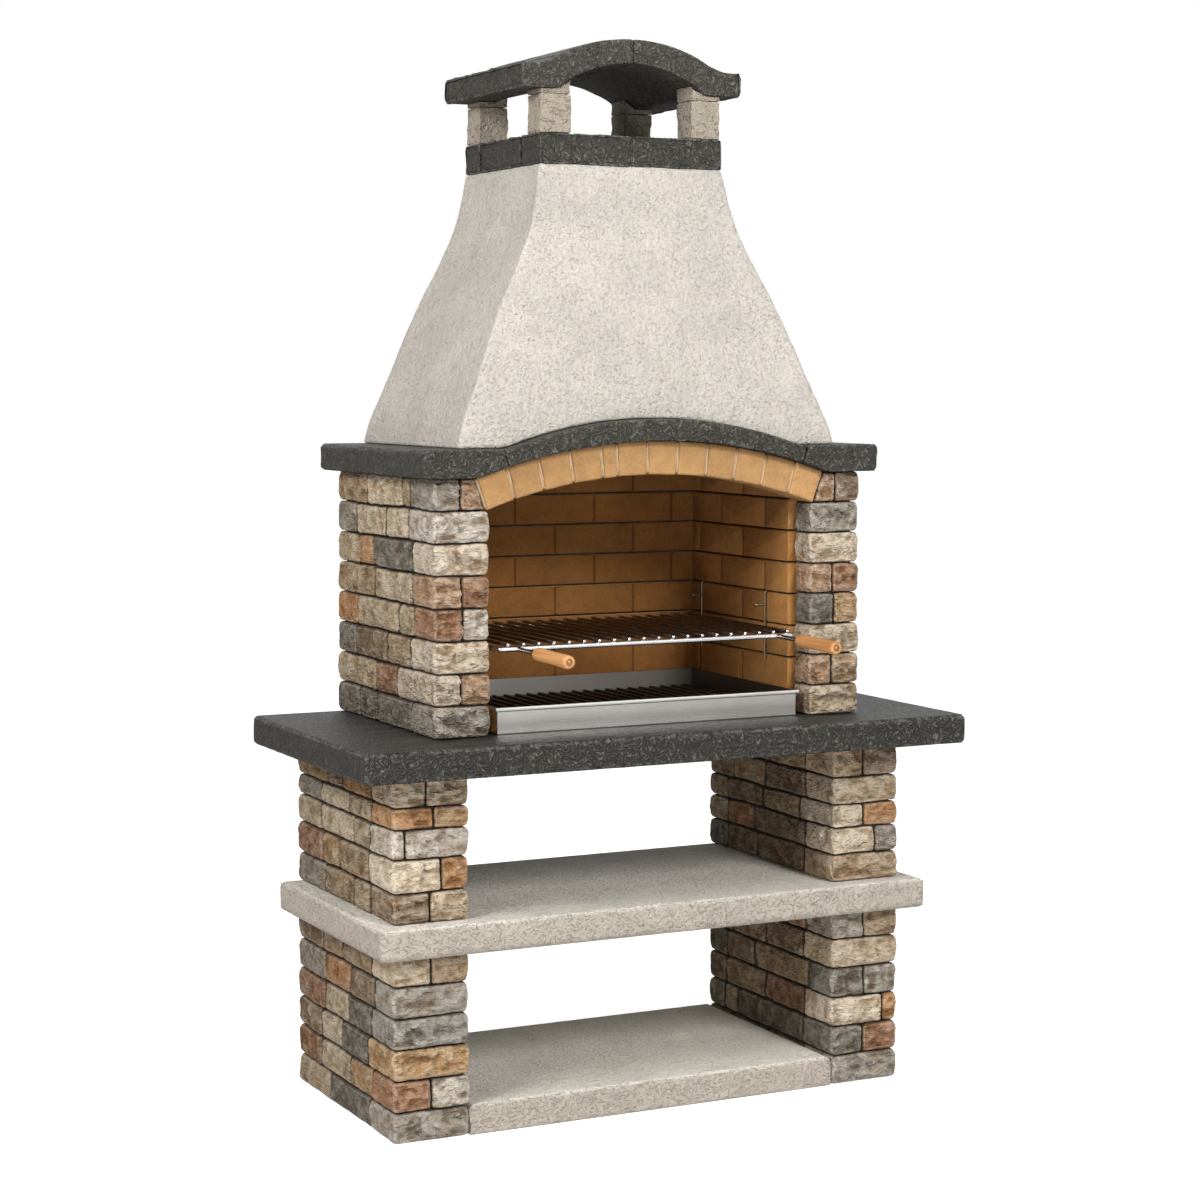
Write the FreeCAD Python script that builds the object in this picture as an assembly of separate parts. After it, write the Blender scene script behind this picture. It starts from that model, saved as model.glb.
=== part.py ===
import FreeCAD, Part
import math
import os

# Masonry barbecue: stone piers, concrete slabs, a firebrick hearth under a rendered hood, and a chimney.
# Millimetres. X is to the right, Y to the back, Z up. The origin is on the floor, at the middle of the
# piers' footprint.

# Base and storage shelves
pier_width = 185
pier_depth = 620
bay_width = 952
lower_pier_height = 423
upper_pier_height = 337
base_thickness = 70
shelf_width = 1420
shelf_depth = 670
shelf_thickness = 70
worktop_width = 1550
worktop_depth = 748
worktop_thickness = 70
slab_chamfer = 8
stone_chamfer = 6

# Firebox
firebox_width = 1110
firebox_depth = 608
firebox_height = 585
jamb_width = 138
jamb_depth = 80
side_stone_thickness = 90
backing_thickness = 35
rear_backing_thickness = 25
firebrick_thickness = 28
rear_firebrick_thickness = 20
firebrick_length = 220
firebrick_pitch = 76.7
firebrick_first_course = 57
firebrick_joint = 6
least_brick = 40

# Arch and mantel
arch_inset = 10
arch_rise = 74
arch_ring = 78
arch_brick_chamfer = 3
mantel_thickness = 65
mantel_side_overhang = 37
mantel_front_overhang = 30
mantel_rear_overhang = 26
mantel_joint_half = 395
mantel_arch_rise = 65
mantel_ogee_radius = 120

# Hood
hood_height = 653
hood_wall = 40
hood_side_setback = 102
hood_front_setback = 41
hood_rear_setback = 31
hood_neck_width = 536
hood_neck_height = 148
hood_belly = 14
hood_bed = 0.5

# Chimney
collar_width = 476
collar_depth = 433
collar_height = 70
collar_wall = 86
collar_corner_length = 113
chimney_centre = 36
chimney_chamfer = 4
post_size = 82
post_height = 91
post_cap_height = 12
cap_side_overhang = 47
cap_front_overhang = 9
cap_rear_overhang = 16
cap_ear_thickness = 56
cap_soffit_half = 205
cap_soffit_rise = 65
cap_soffit_ogee_radius = 40
cap_crown_half = 255
cap_crown_rise = 66
cap_crown_ogee_radius = 80

# Ember tray and coal grate
tray_clearance = 5
tray_rear_clearance = 12
tray_setback = 23
tray_height = 62
tray_sheet = 2
tray_rim = 6
tray_lip = 7
grate_clearance = 8
grate_rail_size = 12
grate_rail_count = 3
grate_bar_width = 8
grate_bar_height = 10
grate_bar_count = 24
grate_bar_margin = 20

# Grill
grill_clearance = 10
grill_rear_clearance = 31
grill_setback = 17
grill_level = 194
grill_rod = 12
grill_corner_radius = 12
grill_wire = 8
grill_wire_count = 20
grill_wire_margin = 20
grill_wire_overhang = 4
weld_gap = 0.2

# Handles
handle_offset = 340
handle_tilt = 1
tang_diameter = 11
tang_reach = 95
handle_length = 170
handle_diameter = 31
handle_neck_diameter = 21
handle_shoulder = 11
handle_end_round = 4
handle_bore_gap = 0.2
rivet_diameter = 14
rivet_height = 2
rivet_recess = 3
rivet_gap = 0.6

# Grill hangers
hanger_wire = 5
hanger_bend = 5
hanger_wall_gap = 0.5
hanger_front = 180
hanger_rear = 60
hanger_rise = 70
hanger_tail = 72
peg_diameter = 6
peg_reach = 14
peg_ball = 9
peg_gap = 0.3
spare_peg_drop = 33

# Stone courses from the bottom up: the course's share of the height, the place of the front joint across
# the width from the left (None where one stone fills the front), and the places of the side joints along
# the depth from the front.
left_lower_courses = [
    (1, None, (0.25, 0.66)),
    (1, 0.50, (0.22, 0.44, 0.75)),
    (1, None, (0.26, 0.53, 0.75)),
    (1, None, (0.23, 0.46, 0.71)),
    (1, None, (0.20, 0.44, 0.70)),
    (1, 0.50, (0.23, 0.53, 0.73)),
]
right_lower_courses = [
    (1, None, (0.23, 0.51, 0.81)),
    (1, 0.48, (0.23, 0.76, 0.87)),
    (1, 0.78, (0.22, 0.53, 0.86)),
    (1, 0.50, (0.19, 0.62, 0.85)),
    (1, None, (0.23, 0.53, 0.81)),
    (1, 0.49, (0.21, 0.36, 0.67)),
]
left_upper_courses = [
    (70, 0.49, (0.24, 0.40, 0.70)),
    (75, 0.64, (0.25, 0.55, 0.73)),
    (66, 0.17, (0.24, 0.40, 0.75)),
    (50, 0.55, (0.22, 0.45, 0.75)),
    (76, 0.45, (0.22, 0.53, 0.68)),
]
right_upper_courses = [
    (67, None, (0.23, 0.60, 0.85)),
    (64, 0.66, (0.22, 0.63, 0.85)),
    (56, 0.48, (0.27, 0.56, 0.85)),
    (66, None, (0.22, 0.54, 0.80)),
    (84, 0.47, (0.22, 0.51, 0.78)),
]
# In the firebox the front joint is measured from the outer face, and the side joints run from the back of
# the jamb to the rear.
left_firebox_courses = [
    (None, (0.11, 0.52, 0.74)),
    (0.48, (0.28, 0.54)),
    (None, (0.13, 0.40, 0.78)),
    (0.52, (0.09, 0.26, 0.76)),
    (0.50, (0.11, 0.56)),
    (None, (0.10, 0.56, 0.74)),
    (None, (0.15, 0.41, 0.77)),
    (0.47, (0.13, 0.22, 0.64)),
]
right_firebox_courses = [
    (None, (0.15, 0.41, 0.77)),
    (0.55, (0.11, 0.56)),
    (None, (0.10, 0.56, 0.74)),
    (0.50, (0.13, 0.40, 0.78)),
    (0.53, (0.09, 0.26, 0.76)),
    (None, (0.28, 0.54)),
    (None, (0.11, 0.52, 0.74)),
    (0.49, (0.13, 0.45, 0.70)),
]
# Shares of the arch taken by its bricks, from the left
arch_brick_shares = [1, 1, 1, 1, 0.5, 1, 1, 1, 1, 1, 1, 1]

os.makedirs("parts", exist_ok=True)

# Levels and planes that several pieces share
rear = pier_depth / 2
pier_front = -pier_depth / 2
pier_inner = bay_width / 2
pier_outer = pier_inner + pier_width
shelf_bottom = lower_pier_height
shelf_top = shelf_bottom + shelf_thickness
worktop_bottom = shelf_top + upper_pier_height
worktop_top = worktop_bottom + worktop_thickness
firebox_top = worktop_top + firebox_height
firebox_half = firebox_width / 2
firebox_front = rear - firebox_depth
jamb_face = firebox_half - jamb_width
jamb_back = firebox_front + jamb_depth
side_stone_face = firebox_half - side_stone_thickness
backing_face = side_stone_face - backing_thickness
lining_face = backing_face - firebrick_thickness
rear_backing_face = rear - rear_backing_thickness
rear_lining_face = rear_backing_face - rear_firebrick_thickness
opening_half = min(lining_face, jamb_face)
springing = firebox_top - firebox_height / len(left_firebox_courses)
arch_half_span = jamb_face + arch_inset
arch_radius = (arch_half_span ** 2 + arch_rise ** 2) / (2 * arch_rise)
arch_outer_radius = arch_radius + arch_ring
arch_centre = springing + arch_rise - arch_radius
arch_half_angle = math.asin(arch_half_span / arch_radius)
mantel_half = firebox_half + mantel_side_overhang
mantel_front = firebox_front - mantel_front_overhang
mantel_rear = rear + mantel_rear_overhang
mantel_bottom = firebox_top
mantel_top = mantel_bottom + mantel_thickness
hood_top = mantel_top + hood_height
collar_half = collar_width / 2
collar_front = chimney_centre - collar_depth / 2
collar_rear = chimney_centre + collar_depth / 2
collar_top = hood_top + collar_height
post_top = collar_top + post_height
cap_bottom = post_top + post_cap_height
cap_half = collar_half + cap_side_overhang
grill_half = opening_half - grill_clearance - grill_rod / 2
grill_front = firebox_front + grill_setback + grill_rod / 2
grill_rear = rear_lining_face - grill_rear_clearance - grill_rod / 2
grill_height = worktop_top + grill_level


def vector(x, y, z):
    return FreeCAD.Vector(x, y, z)


def save(name, *solids):
    shape = solids[0] if len(solids) == 1 else Part.makeCompound(list(solids))
    shape.exportStep("parts/" + name + ".step")


def block(x0, x1, y0, y1, z0, z1):
    return Part.makeBox(abs(x1 - x0), y1 - y0, z1 - z0, vector(min(x0, x1), y0, z0))


def upright_prism(outline, z0, z1):
    points = [vector(x, y, z0) for x, y in outline]
    face = Part.Face(Part.makePolygon(points + points[:1]))
    return face.extrude(vector(0, 0, z1 - z0))


def level_prism(edges, y0, y1):
    face = Part.Face(Part.Wire(edges))
    prism = face.extrude(vector(0, y1 - y0, 0))
    prism.translate(vector(0, y0, 0))
    return prism


def line(start, end):
    return Part.LineSegment(vector(start[0], 0, start[1]), vector(end[0], 0, end[1])).toShape()


def arc(start, through, end):
    points = [vector(x, 0, z) for x, z in (start, through, end)]
    return Part.Arc(*points).toShape()


# Half of an ogee that leaves a flat at (half, base) in a hollow curve and rises in a bow to the crown
def ogee_bow(half, rise, hollow):
    bow = (half ** 2 + rise ** 2) / (2 * rise) - hollow
    return bow, half * bow / (bow + hollow)


def ogee_level(x, half, base, rise, hollow):
    bow, meeting = ogee_bow(half, rise, hollow)
    if x >= half:
        return base
    if x > meeting:
        return base + hollow - math.sqrt(hollow ** 2 - (half - x) ** 2)
    return base + rise - bow + math.sqrt(bow ** 2 - x ** 2)


def ogee_edges(side, half, base, rise, hollow):
    bow, meeting = ogee_bow(half, rise, hollow)
    places = [half, (half + meeting) / 2, meeting, meeting / 2, 0]
    points = [(side * x, ogee_level(x, half, base, rise, hollow)) for x in places]
    return [arc(*points[:3]), arc(*points[2:])]


def chamfered(solid, size, planes):
    edges = []
    for edge in solid.Edges:
        for axis, value in planes:
            ends = [getattr(vertex.Point, axis) for vertex in edge.Vertexes]
            if all(abs(end - value) < 1e-6 for end in ends):
                edges.append(edge)
                break
    return solid.makeChamfer(size, edges)


def joints_between(start, end, first, pitch):
    places = [start]
    place = start + first
    while place < end - least_brick:
        if place > start + least_brick:
            places.append(place)
        place += pitch
    return places + [end]


def rod_along_x(x0, x1, y, z, diameter):
    return Part.makeCylinder(diameter / 2, abs(x1 - x0), vector(min(x0, x1), y, z), vector(1, 0, 0))


def arch_point(radius, angle):
    return radius * math.sin(angle), arch_centre + radius * math.cos(angle)


# Pier stones: each course has one or two stones at the front and stones through the full width behind them
def pier_stones(x0, x1, bottom, top, courses):
    faces = [("x", x0), ("x", x1), ("y", pier_front), ("y", rear)]
    share = (top - bottom) / sum(course[0] for course in courses)
    stones = []
    for height, front_joint, side_joints in courses:
        course_top = bottom + height * share
        y = [pier_front] + [pier_front + place * pier_depth for place in side_joints] + [rear]
        x = [x0, x1] if front_joint is None else [x0, x0 + front_joint * (x1 - x0), x1]
        for left, right in zip(x, x[1:]):
            stones.append(block(left, right, y[0], y[1], bottom, course_top))
        for near, far in zip(y[1:], y[2:]):
            stones.append(block(x0, x1, near, far, bottom, course_top))
        bottom = course_top
    return [chamfered(stone, stone_chamfer, faces) for stone in stones]


save("left_lower_pier", *pier_stones(-pier_outer, -pier_inner, 0, shelf_bottom, left_lower_courses))
save("right_lower_pier", *pier_stones(pier_inner, pier_outer, 0, shelf_bottom, right_lower_courses))
save("left_upper_pier", *pier_stones(-pier_outer, -pier_inner, shelf_top, worktop_bottom, left_upper_courses))
save("right_upper_pier", *pier_stones(pier_inner, pier_outer, shelf_top, worktop_bottom, right_upper_courses))

# Concrete slabs, all flush with the piers at the back
base_slab = block(-pier_inner, pier_inner, pier_front, rear, 0, base_thickness)
save("base_slab", chamfered(base_slab, slab_chamfer, [("z", base_thickness)]))


def slab(width, depth, bottom, thickness):
    solid = block(-width / 2, width / 2, rear - depth, rear, bottom, bottom + thickness)
    return solid.makeChamfer(slab_chamfer, solid.Edges)


save("shelf_slab", slab(shelf_width, shelf_depth, shelf_bottom, shelf_thickness))
save("worktop_slab", slab(worktop_width, worktop_depth, worktop_bottom, worktop_thickness))


# Firebox side walls: the jamb stones turn the corner, and the top course is cut to the arch's skewback
def skewback_wedge(side):
    foot = arch_point(arch_radius, arch_half_angle)
    slope = math.tan(arch_half_angle)
    head = (foot[0] + slope * firebox_height, foot[1] + firebox_height)
    outline = [foot, head, (0, head[1]), (0, foot[1])]
    points = [(side * x, z) for x, z in outline]
    edges = [line(a, b) for a, b in zip(points, points[1:] + points[:1])]
    return level_prism(edges, firebox_front - jamb_depth, rear)


def firebox_stones(side, courses):
    faces = [("x", side * firebox_half), ("x", side * jamb_face), ("y", firebox_front), ("y", rear)]
    course_height = firebox_height / len(courses)
    outer = side * firebox_half
    inner = side * side_stone_face
    stones = []
    for number, (front_joint, side_joints) in enumerate(courses):
        bottom = worktop_top + number * course_height
        top = bottom + course_height
        y = [jamb_back + place * (rear - jamb_back) for place in side_joints] + [rear]
        corner_edge = side * jamb_face
        front = []
        if front_joint is not None:
            corner_edge = side * (firebox_half - front_joint * jamb_width)
            front.append(block(corner_edge, side * jamb_face, firebox_front, jamb_back, bottom, top))
        outline = [(outer, firebox_front), (corner_edge, firebox_front), (corner_edge, jamb_back)]
        outline += [(inner, jamb_back), (inner, y[0]), (outer, y[0])]
        front.append(upright_prism(outline, bottom, top))
        if top > springing + 1:
            front = [stone.cut(skewback_wedge(side)).Solids[0] for stone in front]
        sides = [block(outer, inner, near, far, bottom, top) for near, far in zip(y, y[1:])]
        stones += front + sides
    return [chamfered(stone, stone_chamfer, faces) for stone in stones]


save("left_firebox_stones", *firebox_stones(-1, left_firebox_courses))
save("right_firebox_stones", *firebox_stones(1, right_firebox_courses))

# Concrete backing panels that carry the firebricks
for side, name in ((-1, "left_backing_panel"), (1, "right_backing_panel")):
    panel = block(side * side_stone_face, side * backing_face, jamb_back, rear, worktop_top, firebox_top)
    save(name, panel)
rear_panel = block(-backing_face, backing_face, rear_backing_face, rear, worktop_top, firebox_top)
save("rear_backing_panel", rear_panel)

# Firebrick lining in half bond, with open raked joints
course_levels = joints_between(worktop_top, firebox_top, firebrick_first_course, firebrick_pitch)


def lining_bricks(start, end, brick):
    gap = firebrick_joint / 2
    bricks = []
    for number, (low, high) in enumerate(zip(course_levels, course_levels[1:])):
        first = firebrick_length if number % 2 else firebrick_length / 2
        low = low if number == 0 else low + gap
        high = high if high == firebox_top else high - gap
        places = joints_between(start, end, first, firebrick_length)
        for near, far in zip(places, places[1:]):
            near = near if near == start else near + gap
            far = far if far == end else far - gap
            bricks.append(brick(near, far, low, high))
    return bricks


def side_brick(side):
    def brick(near, far, low, high):
        return block(side * backing_face, side * lining_face, near, far, low, high)
    return brick


def rear_brick(left, right, low, high):
    return block(left, right, rear_lining_face, rear_backing_face, low, high)


save("left_firebricks", *lining_bricks(jamb_back, rear_lining_face, side_brick(-1)))
save("right_firebricks", *lining_bricks(jamb_back, rear_lining_face, side_brick(1)))
save("rear_firebricks", *lining_bricks(-backing_face, backing_face, rear_brick))


# Firebrick arch, one wedge-shaped brick after another from the left skewback to the right one
def arch_bricks():
    turn = 2 * arch_half_angle / sum(arch_brick_shares)
    start = -arch_half_angle
    bricks = []
    for share in arch_brick_shares:
        end = start + share * turn
        corners = [arch_point(arch_radius, start), arch_point(arch_outer_radius, start)]
        corners += [arch_point(arch_outer_radius, end), arch_point(arch_radius, end)]
        edges = [line(a, b) for a, b in zip(corners, corners[1:] + corners[:1])]
        brick = level_prism(edges, firebox_front, jamb_back)
        bricks.append(chamfered(brick, arch_brick_chamfer, [("y", firebox_front)]))
        start = end
    return bricks


save("arch_bricks", *arch_bricks())

# Mantel: two end blocks, the arched middle block and the rear block, cast in dark concrete
mantel_joint_angle = math.atan2(mantel_joint_half, mantel_top - arch_centre)
mantel_joint_foot = arch_point(arch_outer_radius, mantel_joint_angle)
mantel_knee_angle = math.acos((mantel_bottom - arch_centre) / arch_outer_radius)
mantel_knee = arch_point(arch_outer_radius, mantel_knee_angle)


def mantel_end(side):
    between = arch_point(arch_outer_radius, (mantel_knee_angle + mantel_joint_angle) / 2)
    outline = [mantel_joint_foot, (mantel_joint_half, mantel_top), (mantel_half, mantel_top)]
    outline += [(mantel_half, mantel_bottom), mantel_knee]
    points = [(side * x, z) for x, z in outline]
    edges = [line(a, b) for a, b in zip(points, points[1:])]
    edges.append(arc(points[-1], (side * between[0], between[1]), points[0]))
    front = level_prism(edges, mantel_front, jamb_back)
    back = block(side * lining_face, side * mantel_half, jamb_back, mantel_rear, mantel_bottom, mantel_top)
    faces = [("x", side * mantel_half)]
    return chamfered(front.fuse(back).removeSplitter(), slab_chamfer, faces)


def mantel_crown_edges():
    right = ogee_edges(1, mantel_joint_half, mantel_top, mantel_arch_rise, mantel_ogee_radius)
    left = ogee_edges(-1, mantel_joint_half, mantel_top, mantel_arch_rise, mantel_ogee_radius)
    return right + left[::-1]


def mantel_arch():
    foot = mantel_joint_foot
    head = (mantel_joint_half, mantel_top)
    soffit_crown = arch_point(arch_outer_radius, 0)
    edges = [arc((-foot[0], foot[1]), soffit_crown, foot), line(foot, head)] + mantel_crown_edges()
    edges.append(line((-head[0], head[1]), (-foot[0], foot[1])))
    return level_prism(edges, mantel_front, jamb_back)


save("mantel_left_block", mantel_end(-1))
save("mantel_right_block", mantel_end(1))
save("mantel_arch_block", mantel_arch())
save("mantel_rear_block", block(-lining_face, lining_face, rear_lining_face, mantel_rear, mantel_bottom, mantel_top))

# Hood: a hollow bell with a bowed body and a steeper neck, whose front edge sits over the arched block
hood_front = mantel_front + hood_front_setback
hood_rear = mantel_rear - hood_rear_setback
hood_half = mantel_half - hood_side_setback
neck_start = 1 - hood_neck_height / hood_height


def hood_half_width(rise):
    if rise < neck_start:
        share = rise / neck_start
        straight = hood_half + (hood_neck_width / 2 - hood_half) * share
        return straight + hood_belly * 4 * share * (1 - share)
    share = (rise - neck_start) / (1 - neck_start)
    return hood_neck_width / 2 + (collar_half - hood_neck_width / 2) * share


def hood_section(rise, inset, lift):
    half = hood_half_width(rise) - inset
    front = hood_front + (collar_front - hood_front) * rise + inset
    back = hood_rear + (collar_rear - hood_rear) * rise - inset
    z = mantel_top + rise * hood_height + lift
    corners = [vector(-half, front, z), vector(half, front, z), vector(half, back, z), vector(-half, back, z)]
    return Part.makePolygon(corners + corners[:1])


def hood_bell(inset, overrun):
    body = [neck_start * share for share in (0, 0.25, 0.5, 0.75, 0.92)]
    neck = [neck_start + (1 - neck_start) * share for share in (0.3, 0.65, 1)]
    rises = body + neck
    lifts = [-overrun] + [0] * (len(rises) - 2) + [overrun]
    sections = [hood_section(rise, inset, lift) for rise, lift in zip(rises, lifts)]
    return Part.makeLoft(sections, True, False)


def hood():
    arch_bed = level_prism(mantel_crown_edges() + [line((-mantel_joint_half, mantel_top),
                                                        (mantel_joint_half, mantel_top))],
                           mantel_front, jamb_back)
    arch_bed.translate(vector(0, 0, hood_bed))
    footing = block(-mantel_joint_half, mantel_joint_half, mantel_front, jamb_back, mantel_top,
                    mantel_top + hood_bed)
    return hood_bell(0, 0).cut(hood_bell(hood_wall, 1)).cut(arch_bed.fuse(footing))


save("hood", hood())


# Chimney collar: a ring of dark blocks on the hood
def collar_blocks():
    left_inner = -collar_half + collar_wall
    right_inner = collar_half - collar_wall
    front_inner = collar_front + collar_wall
    rear_inner = collar_rear - collar_wall
    corner_end = collar_front + collar_corner_length
    plans = [
        (-collar_half, left_inner, collar_front, corner_end),
        (left_inner, 0, collar_front, front_inner),
        (0, collar_half, collar_front, front_inner),
        (-collar_half, left_inner, corner_end, rear_inner),
        (right_inner, collar_half, front_inner, rear_inner),
        (-collar_half, left_inner, rear_inner, collar_rear),
        (left_inner, right_inner, rear_inner, collar_rear),
        (right_inner, collar_half, rear_inner, collar_rear),
    ]
    faces = [("x", -collar_half), ("x", collar_half), ("y", collar_front), ("y", collar_rear)]
    blocks = [block(*plan, hood_top, collar_top) for plan in plans]
    return [chamfered(solid, chimney_chamfer, faces) for solid in blocks]


save("collar_blocks", *collar_blocks())

# Chimney posts at the collar's corners, and the wedge on each post that meets the arched cap
crown_base = cap_bottom + cap_ear_thickness


soffit_meeting = ogee_bow(cap_soffit_half, cap_soffit_rise, cap_soffit_ogee_radius)[1]
soffit_turn = math.asin((cap_soffit_half - soffit_meeting) / cap_soffit_ogee_radius)
soffit_foot = cap_soffit_half - cap_soffit_ogee_radius * math.tan(soffit_turn / 2)


def wedge_level(x):
    if x <= soffit_meeting:
        return ogee_level(x, cap_soffit_half, cap_bottom, cap_soffit_rise, cap_soffit_ogee_radius)
    return cap_bottom + max(0, soffit_foot - x) * math.tan(soffit_turn)


def post_wedge(side, y0, y1):
    inner = collar_half - post_size
    bends = [x for x in (soffit_meeting, soffit_foot) if inner < x < collar_half]
    tops = [(x, wedge_level(x)) for x in [inner] + bends + [collar_half]]
    outline = [(collar_half, post_top), (inner, post_top)] + tops
    points = [(side * x, z) for x, z in outline]
    edges = [line(a, b) for a, b in zip(points, points[1:] + points[:1])]
    return level_prism(edges, y0, y1)


for side, side_name in ((-1, "left"), (1, "right")):
    for y0, row_name in ((collar_front, "front"), (collar_rear - post_size, "rear")):
        y1 = y0 + post_size
        inner = side * (collar_half - post_size)
        post = block(inner, side * collar_half, y0, y1, collar_top, post_top)
        uprights = [("x", inner), ("x", side * collar_half)]
        post_name = row_name + "_" + side_name
        save("chimney_post_" + post_name, chamfered(post, chimney_chamfer, uprights))
        save("post_wedge_" + post_name, post_wedge(side, y0, y1))


# Chimney cap: two halves that meet at the crown
def cap_half_block(side):
    ear = [(cap_crown_half, crown_base), (cap_half, crown_base), (cap_half, cap_bottom)]
    ear = [(side * x, z) for x, z in ear + [(cap_soffit_half, cap_bottom)]]
    edges = [line(a, b) for a, b in zip(ear, ear[1:])]
    edges += ogee_edges(side, cap_soffit_half, cap_bottom, cap_soffit_rise, cap_soffit_ogee_radius)
    edges.append(line((0, cap_bottom + cap_soffit_rise), (0, crown_base + cap_crown_rise)))
    edges += ogee_edges(side, cap_crown_half, crown_base, cap_crown_rise, cap_crown_ogee_radius)[::-1]
    solid = level_prism(edges, collar_front - cap_front_overhang, collar_rear + cap_rear_overhang)
    return chamfered(solid, chimney_chamfer, [("x", side * cap_half)])


save("cap_left_half", cap_half_block(-1))
save("cap_right_half", cap_half_block(1))

# Ember tray: a folded sheet pan with a turned-out rim, standing on the worktop
tray_half = opening_half - tray_clearance - tray_rim
tray_front = firebox_front + tray_setback
tray_rear = rear_lining_face - tray_rear_clearance - tray_rim
tray_top = worktop_top + tray_height
tray_floor = worktop_top + tray_sheet


def tray_block(grow, bottom, top):
    return block(-tray_half - grow, tray_half + grow, tray_front - grow, tray_rear + grow, bottom, top)


def ember_tray():
    hollow = tray_block(-tray_sheet, tray_floor, tray_top)
    pan = tray_block(0, worktop_top, tray_top)
    rim = tray_block(tray_rim, tray_top - tray_sheet, tray_top)
    lip = tray_block(tray_rim, tray_top - tray_lip, tray_top)
    lip = lip.cut(tray_block(tray_rim - tray_sheet, tray_top - tray_lip, tray_top))
    return pan.fuse([rim, lip]).cut(hollow).removeSplitter()


save("ember_tray", ember_tray())

# Coal grate: bars from front to back on cross rails that stand on the tray's floor
grate_half = tray_half - tray_sheet - grate_clearance
grate_front = tray_front + tray_sheet + grate_clearance
grate_rear = tray_rear - tray_sheet - grate_clearance
grate_rail_top = tray_floor + grate_rail_size
grate_rail_step = (grate_rear - grate_front - grate_rail_size) / (grate_rail_count - 1)
grate_bar_step = 2 * (grate_half - grate_bar_margin) / (grate_bar_count - 1)
grate_rails = []
for number in range(grate_rail_count):
    y = grate_front + number * grate_rail_step
    grate_rails.append(block(-grate_half, grate_half, y, y + grate_rail_size, tray_floor, grate_rail_top))
grate_bars = []
for number in range(grate_bar_count):
    x = grate_bar_margin - grate_half + number * grate_bar_step - grate_bar_width / 2
    grate_bars.append(block(x, x + grate_bar_width, grate_front, grate_rear, grate_rail_top,
                            grate_rail_top + grate_bar_height))
save("coal_grate_rails", *grate_rails)
save("coal_grate_bars", *grate_bars)


# Grill frame: one rod bent into a rectangle
def rod_corner(x, y, start_angle):
    centre = vector(x, y, grill_height)
    section = Part.Face(Part.Wire(Part.makeCircle(grill_rod / 2, centre + vector(grill_corner_radius, 0, 0),
                                                  vector(0, 1, 0))))
    corner = section.revolve(centre, vector(0, 0, 1), 90)
    corner.rotate(centre, vector(0, 0, 1), start_angle)
    return corner


def grill_frame():
    x = grill_half - grill_corner_radius
    front = grill_front + grill_corner_radius
    back = grill_rear - grill_corner_radius
    rods = [rod_along_x(-x, x, y, grill_height, grill_rod) for y in (grill_front, grill_rear)]
    for side in (-1, 1):
        start = vector(side * grill_half, front, grill_height)
        rods.append(Part.makeCylinder(grill_rod / 2, back - front, start, vector(0, 1, 0)))
    rods += [rod_corner(x, back, 0), rod_corner(-x, back, 90), rod_corner(-x, front, 180)]
    return rod_corner(x, front, 270).fuse(rods).removeSplitter()


save("grill_frame", grill_frame())

# Grill wires, laid across the front and rear rods, with domed ends
wire_height = grill_height + grill_rod / 2 + weld_gap + grill_wire / 2
wire_start = grill_front - grill_wire_overhang
wire_end = grill_rear + grill_wire_overhang
wire_step = 2 * (grill_half - grill_wire_margin) / (grill_wire_count - 1)
grill_wires = []
for number in range(grill_wire_count):
    x = grill_wire_margin - grill_half + number * wire_step
    start = vector(x, wire_start, wire_height)
    end = vector(x, wire_end, wire_height)
    wire = Part.makeCylinder(grill_wire / 2, wire_end - wire_start, start, vector(0, 1, 0))
    domes = [Part.makeSphere(grill_wire / 2, place) for place in (start, end)]
    grill_wires.append(wire.fuse(domes).removeSplitter())
save("grill_wires", *grill_wires)


# Handles: a steel tang welded to the front rod, a turned wooden grip on it and a rivet at the end
def turned(outline):
    points = [vector(radius, 0, reach) for radius, reach in outline]
    face = Part.Face(Part.makePolygon(points + points[:1]))
    return face.revolve(vector(0, 0, 0), vector(0, 0, 1), 360)


def grip():
    outer = handle_diameter / 2
    neck = handle_neck_diameter / 2
    bore = tang_diameter / 2 + handle_bore_gap
    recess = rivet_diameter / 2 + rivet_gap
    outline = [(bore, 0), (neck, 0), (outer, handle_shoulder), (outer, handle_length - handle_end_round)]
    outline += [(outer - handle_end_round, handle_length), (recess, handle_length)]
    outline += [(recess, handle_length - rivet_recess), (bore, handle_length - rivet_recess)]
    return turned(outline)


handle_direction = vector(0, -math.cos(math.radians(handle_tilt)), -math.sin(math.radians(handle_tilt)))
tang_length = tang_reach + handle_length - rivet_recess
for side, side_name in ((-1, "left"), (1, "right")):
    foot = vector(side * handle_offset, grill_front - grill_rod / 2 - weld_gap - tang_diameter / 2
                  * math.sin(math.radians(handle_tilt)), grill_height)
    turn = FreeCAD.Rotation(vector(0, 0, 1), handle_direction)
    tang = Part.makeCylinder(tang_diameter / 2, tang_length)
    tang.Placement = FreeCAD.Placement(foot, turn)
    save(side_name + "_handle_tang", tang)
    wood = grip()
    wood.Placement = FreeCAD.Placement(foot + handle_direction * tang_reach, turn)
    save(side_name + "_handle_grip", wood)
    rivet = Part.makeCylinder(rivet_diameter / 2, rivet_height)
    rivet.Placement = FreeCAD.Placement(foot + handle_direction * tang_length, turn)
    save(side_name + "_handle_rivet", rivet)

# Wire hangers let into a joint of the side lining, each with a peg under the grill and a higher spare peg
anchor_level = min(level for level in course_levels[1:-1] if level >= grill_height + hanger_rise)
hanger_line = lining_face - hanger_bend - hanger_wall_gap
peg_level = grill_height - grill_rod / 2 - peg_gap - peg_diameter / 2
peg_end = grill_half - peg_reach


def peg(y, level):
    pin = rod_along_x(peg_end, hanger_line, y, level, peg_diameter)
    return pin.fuse(Part.makeSphere(peg_ball / 2, vector(peg_end, y, level)))


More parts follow.
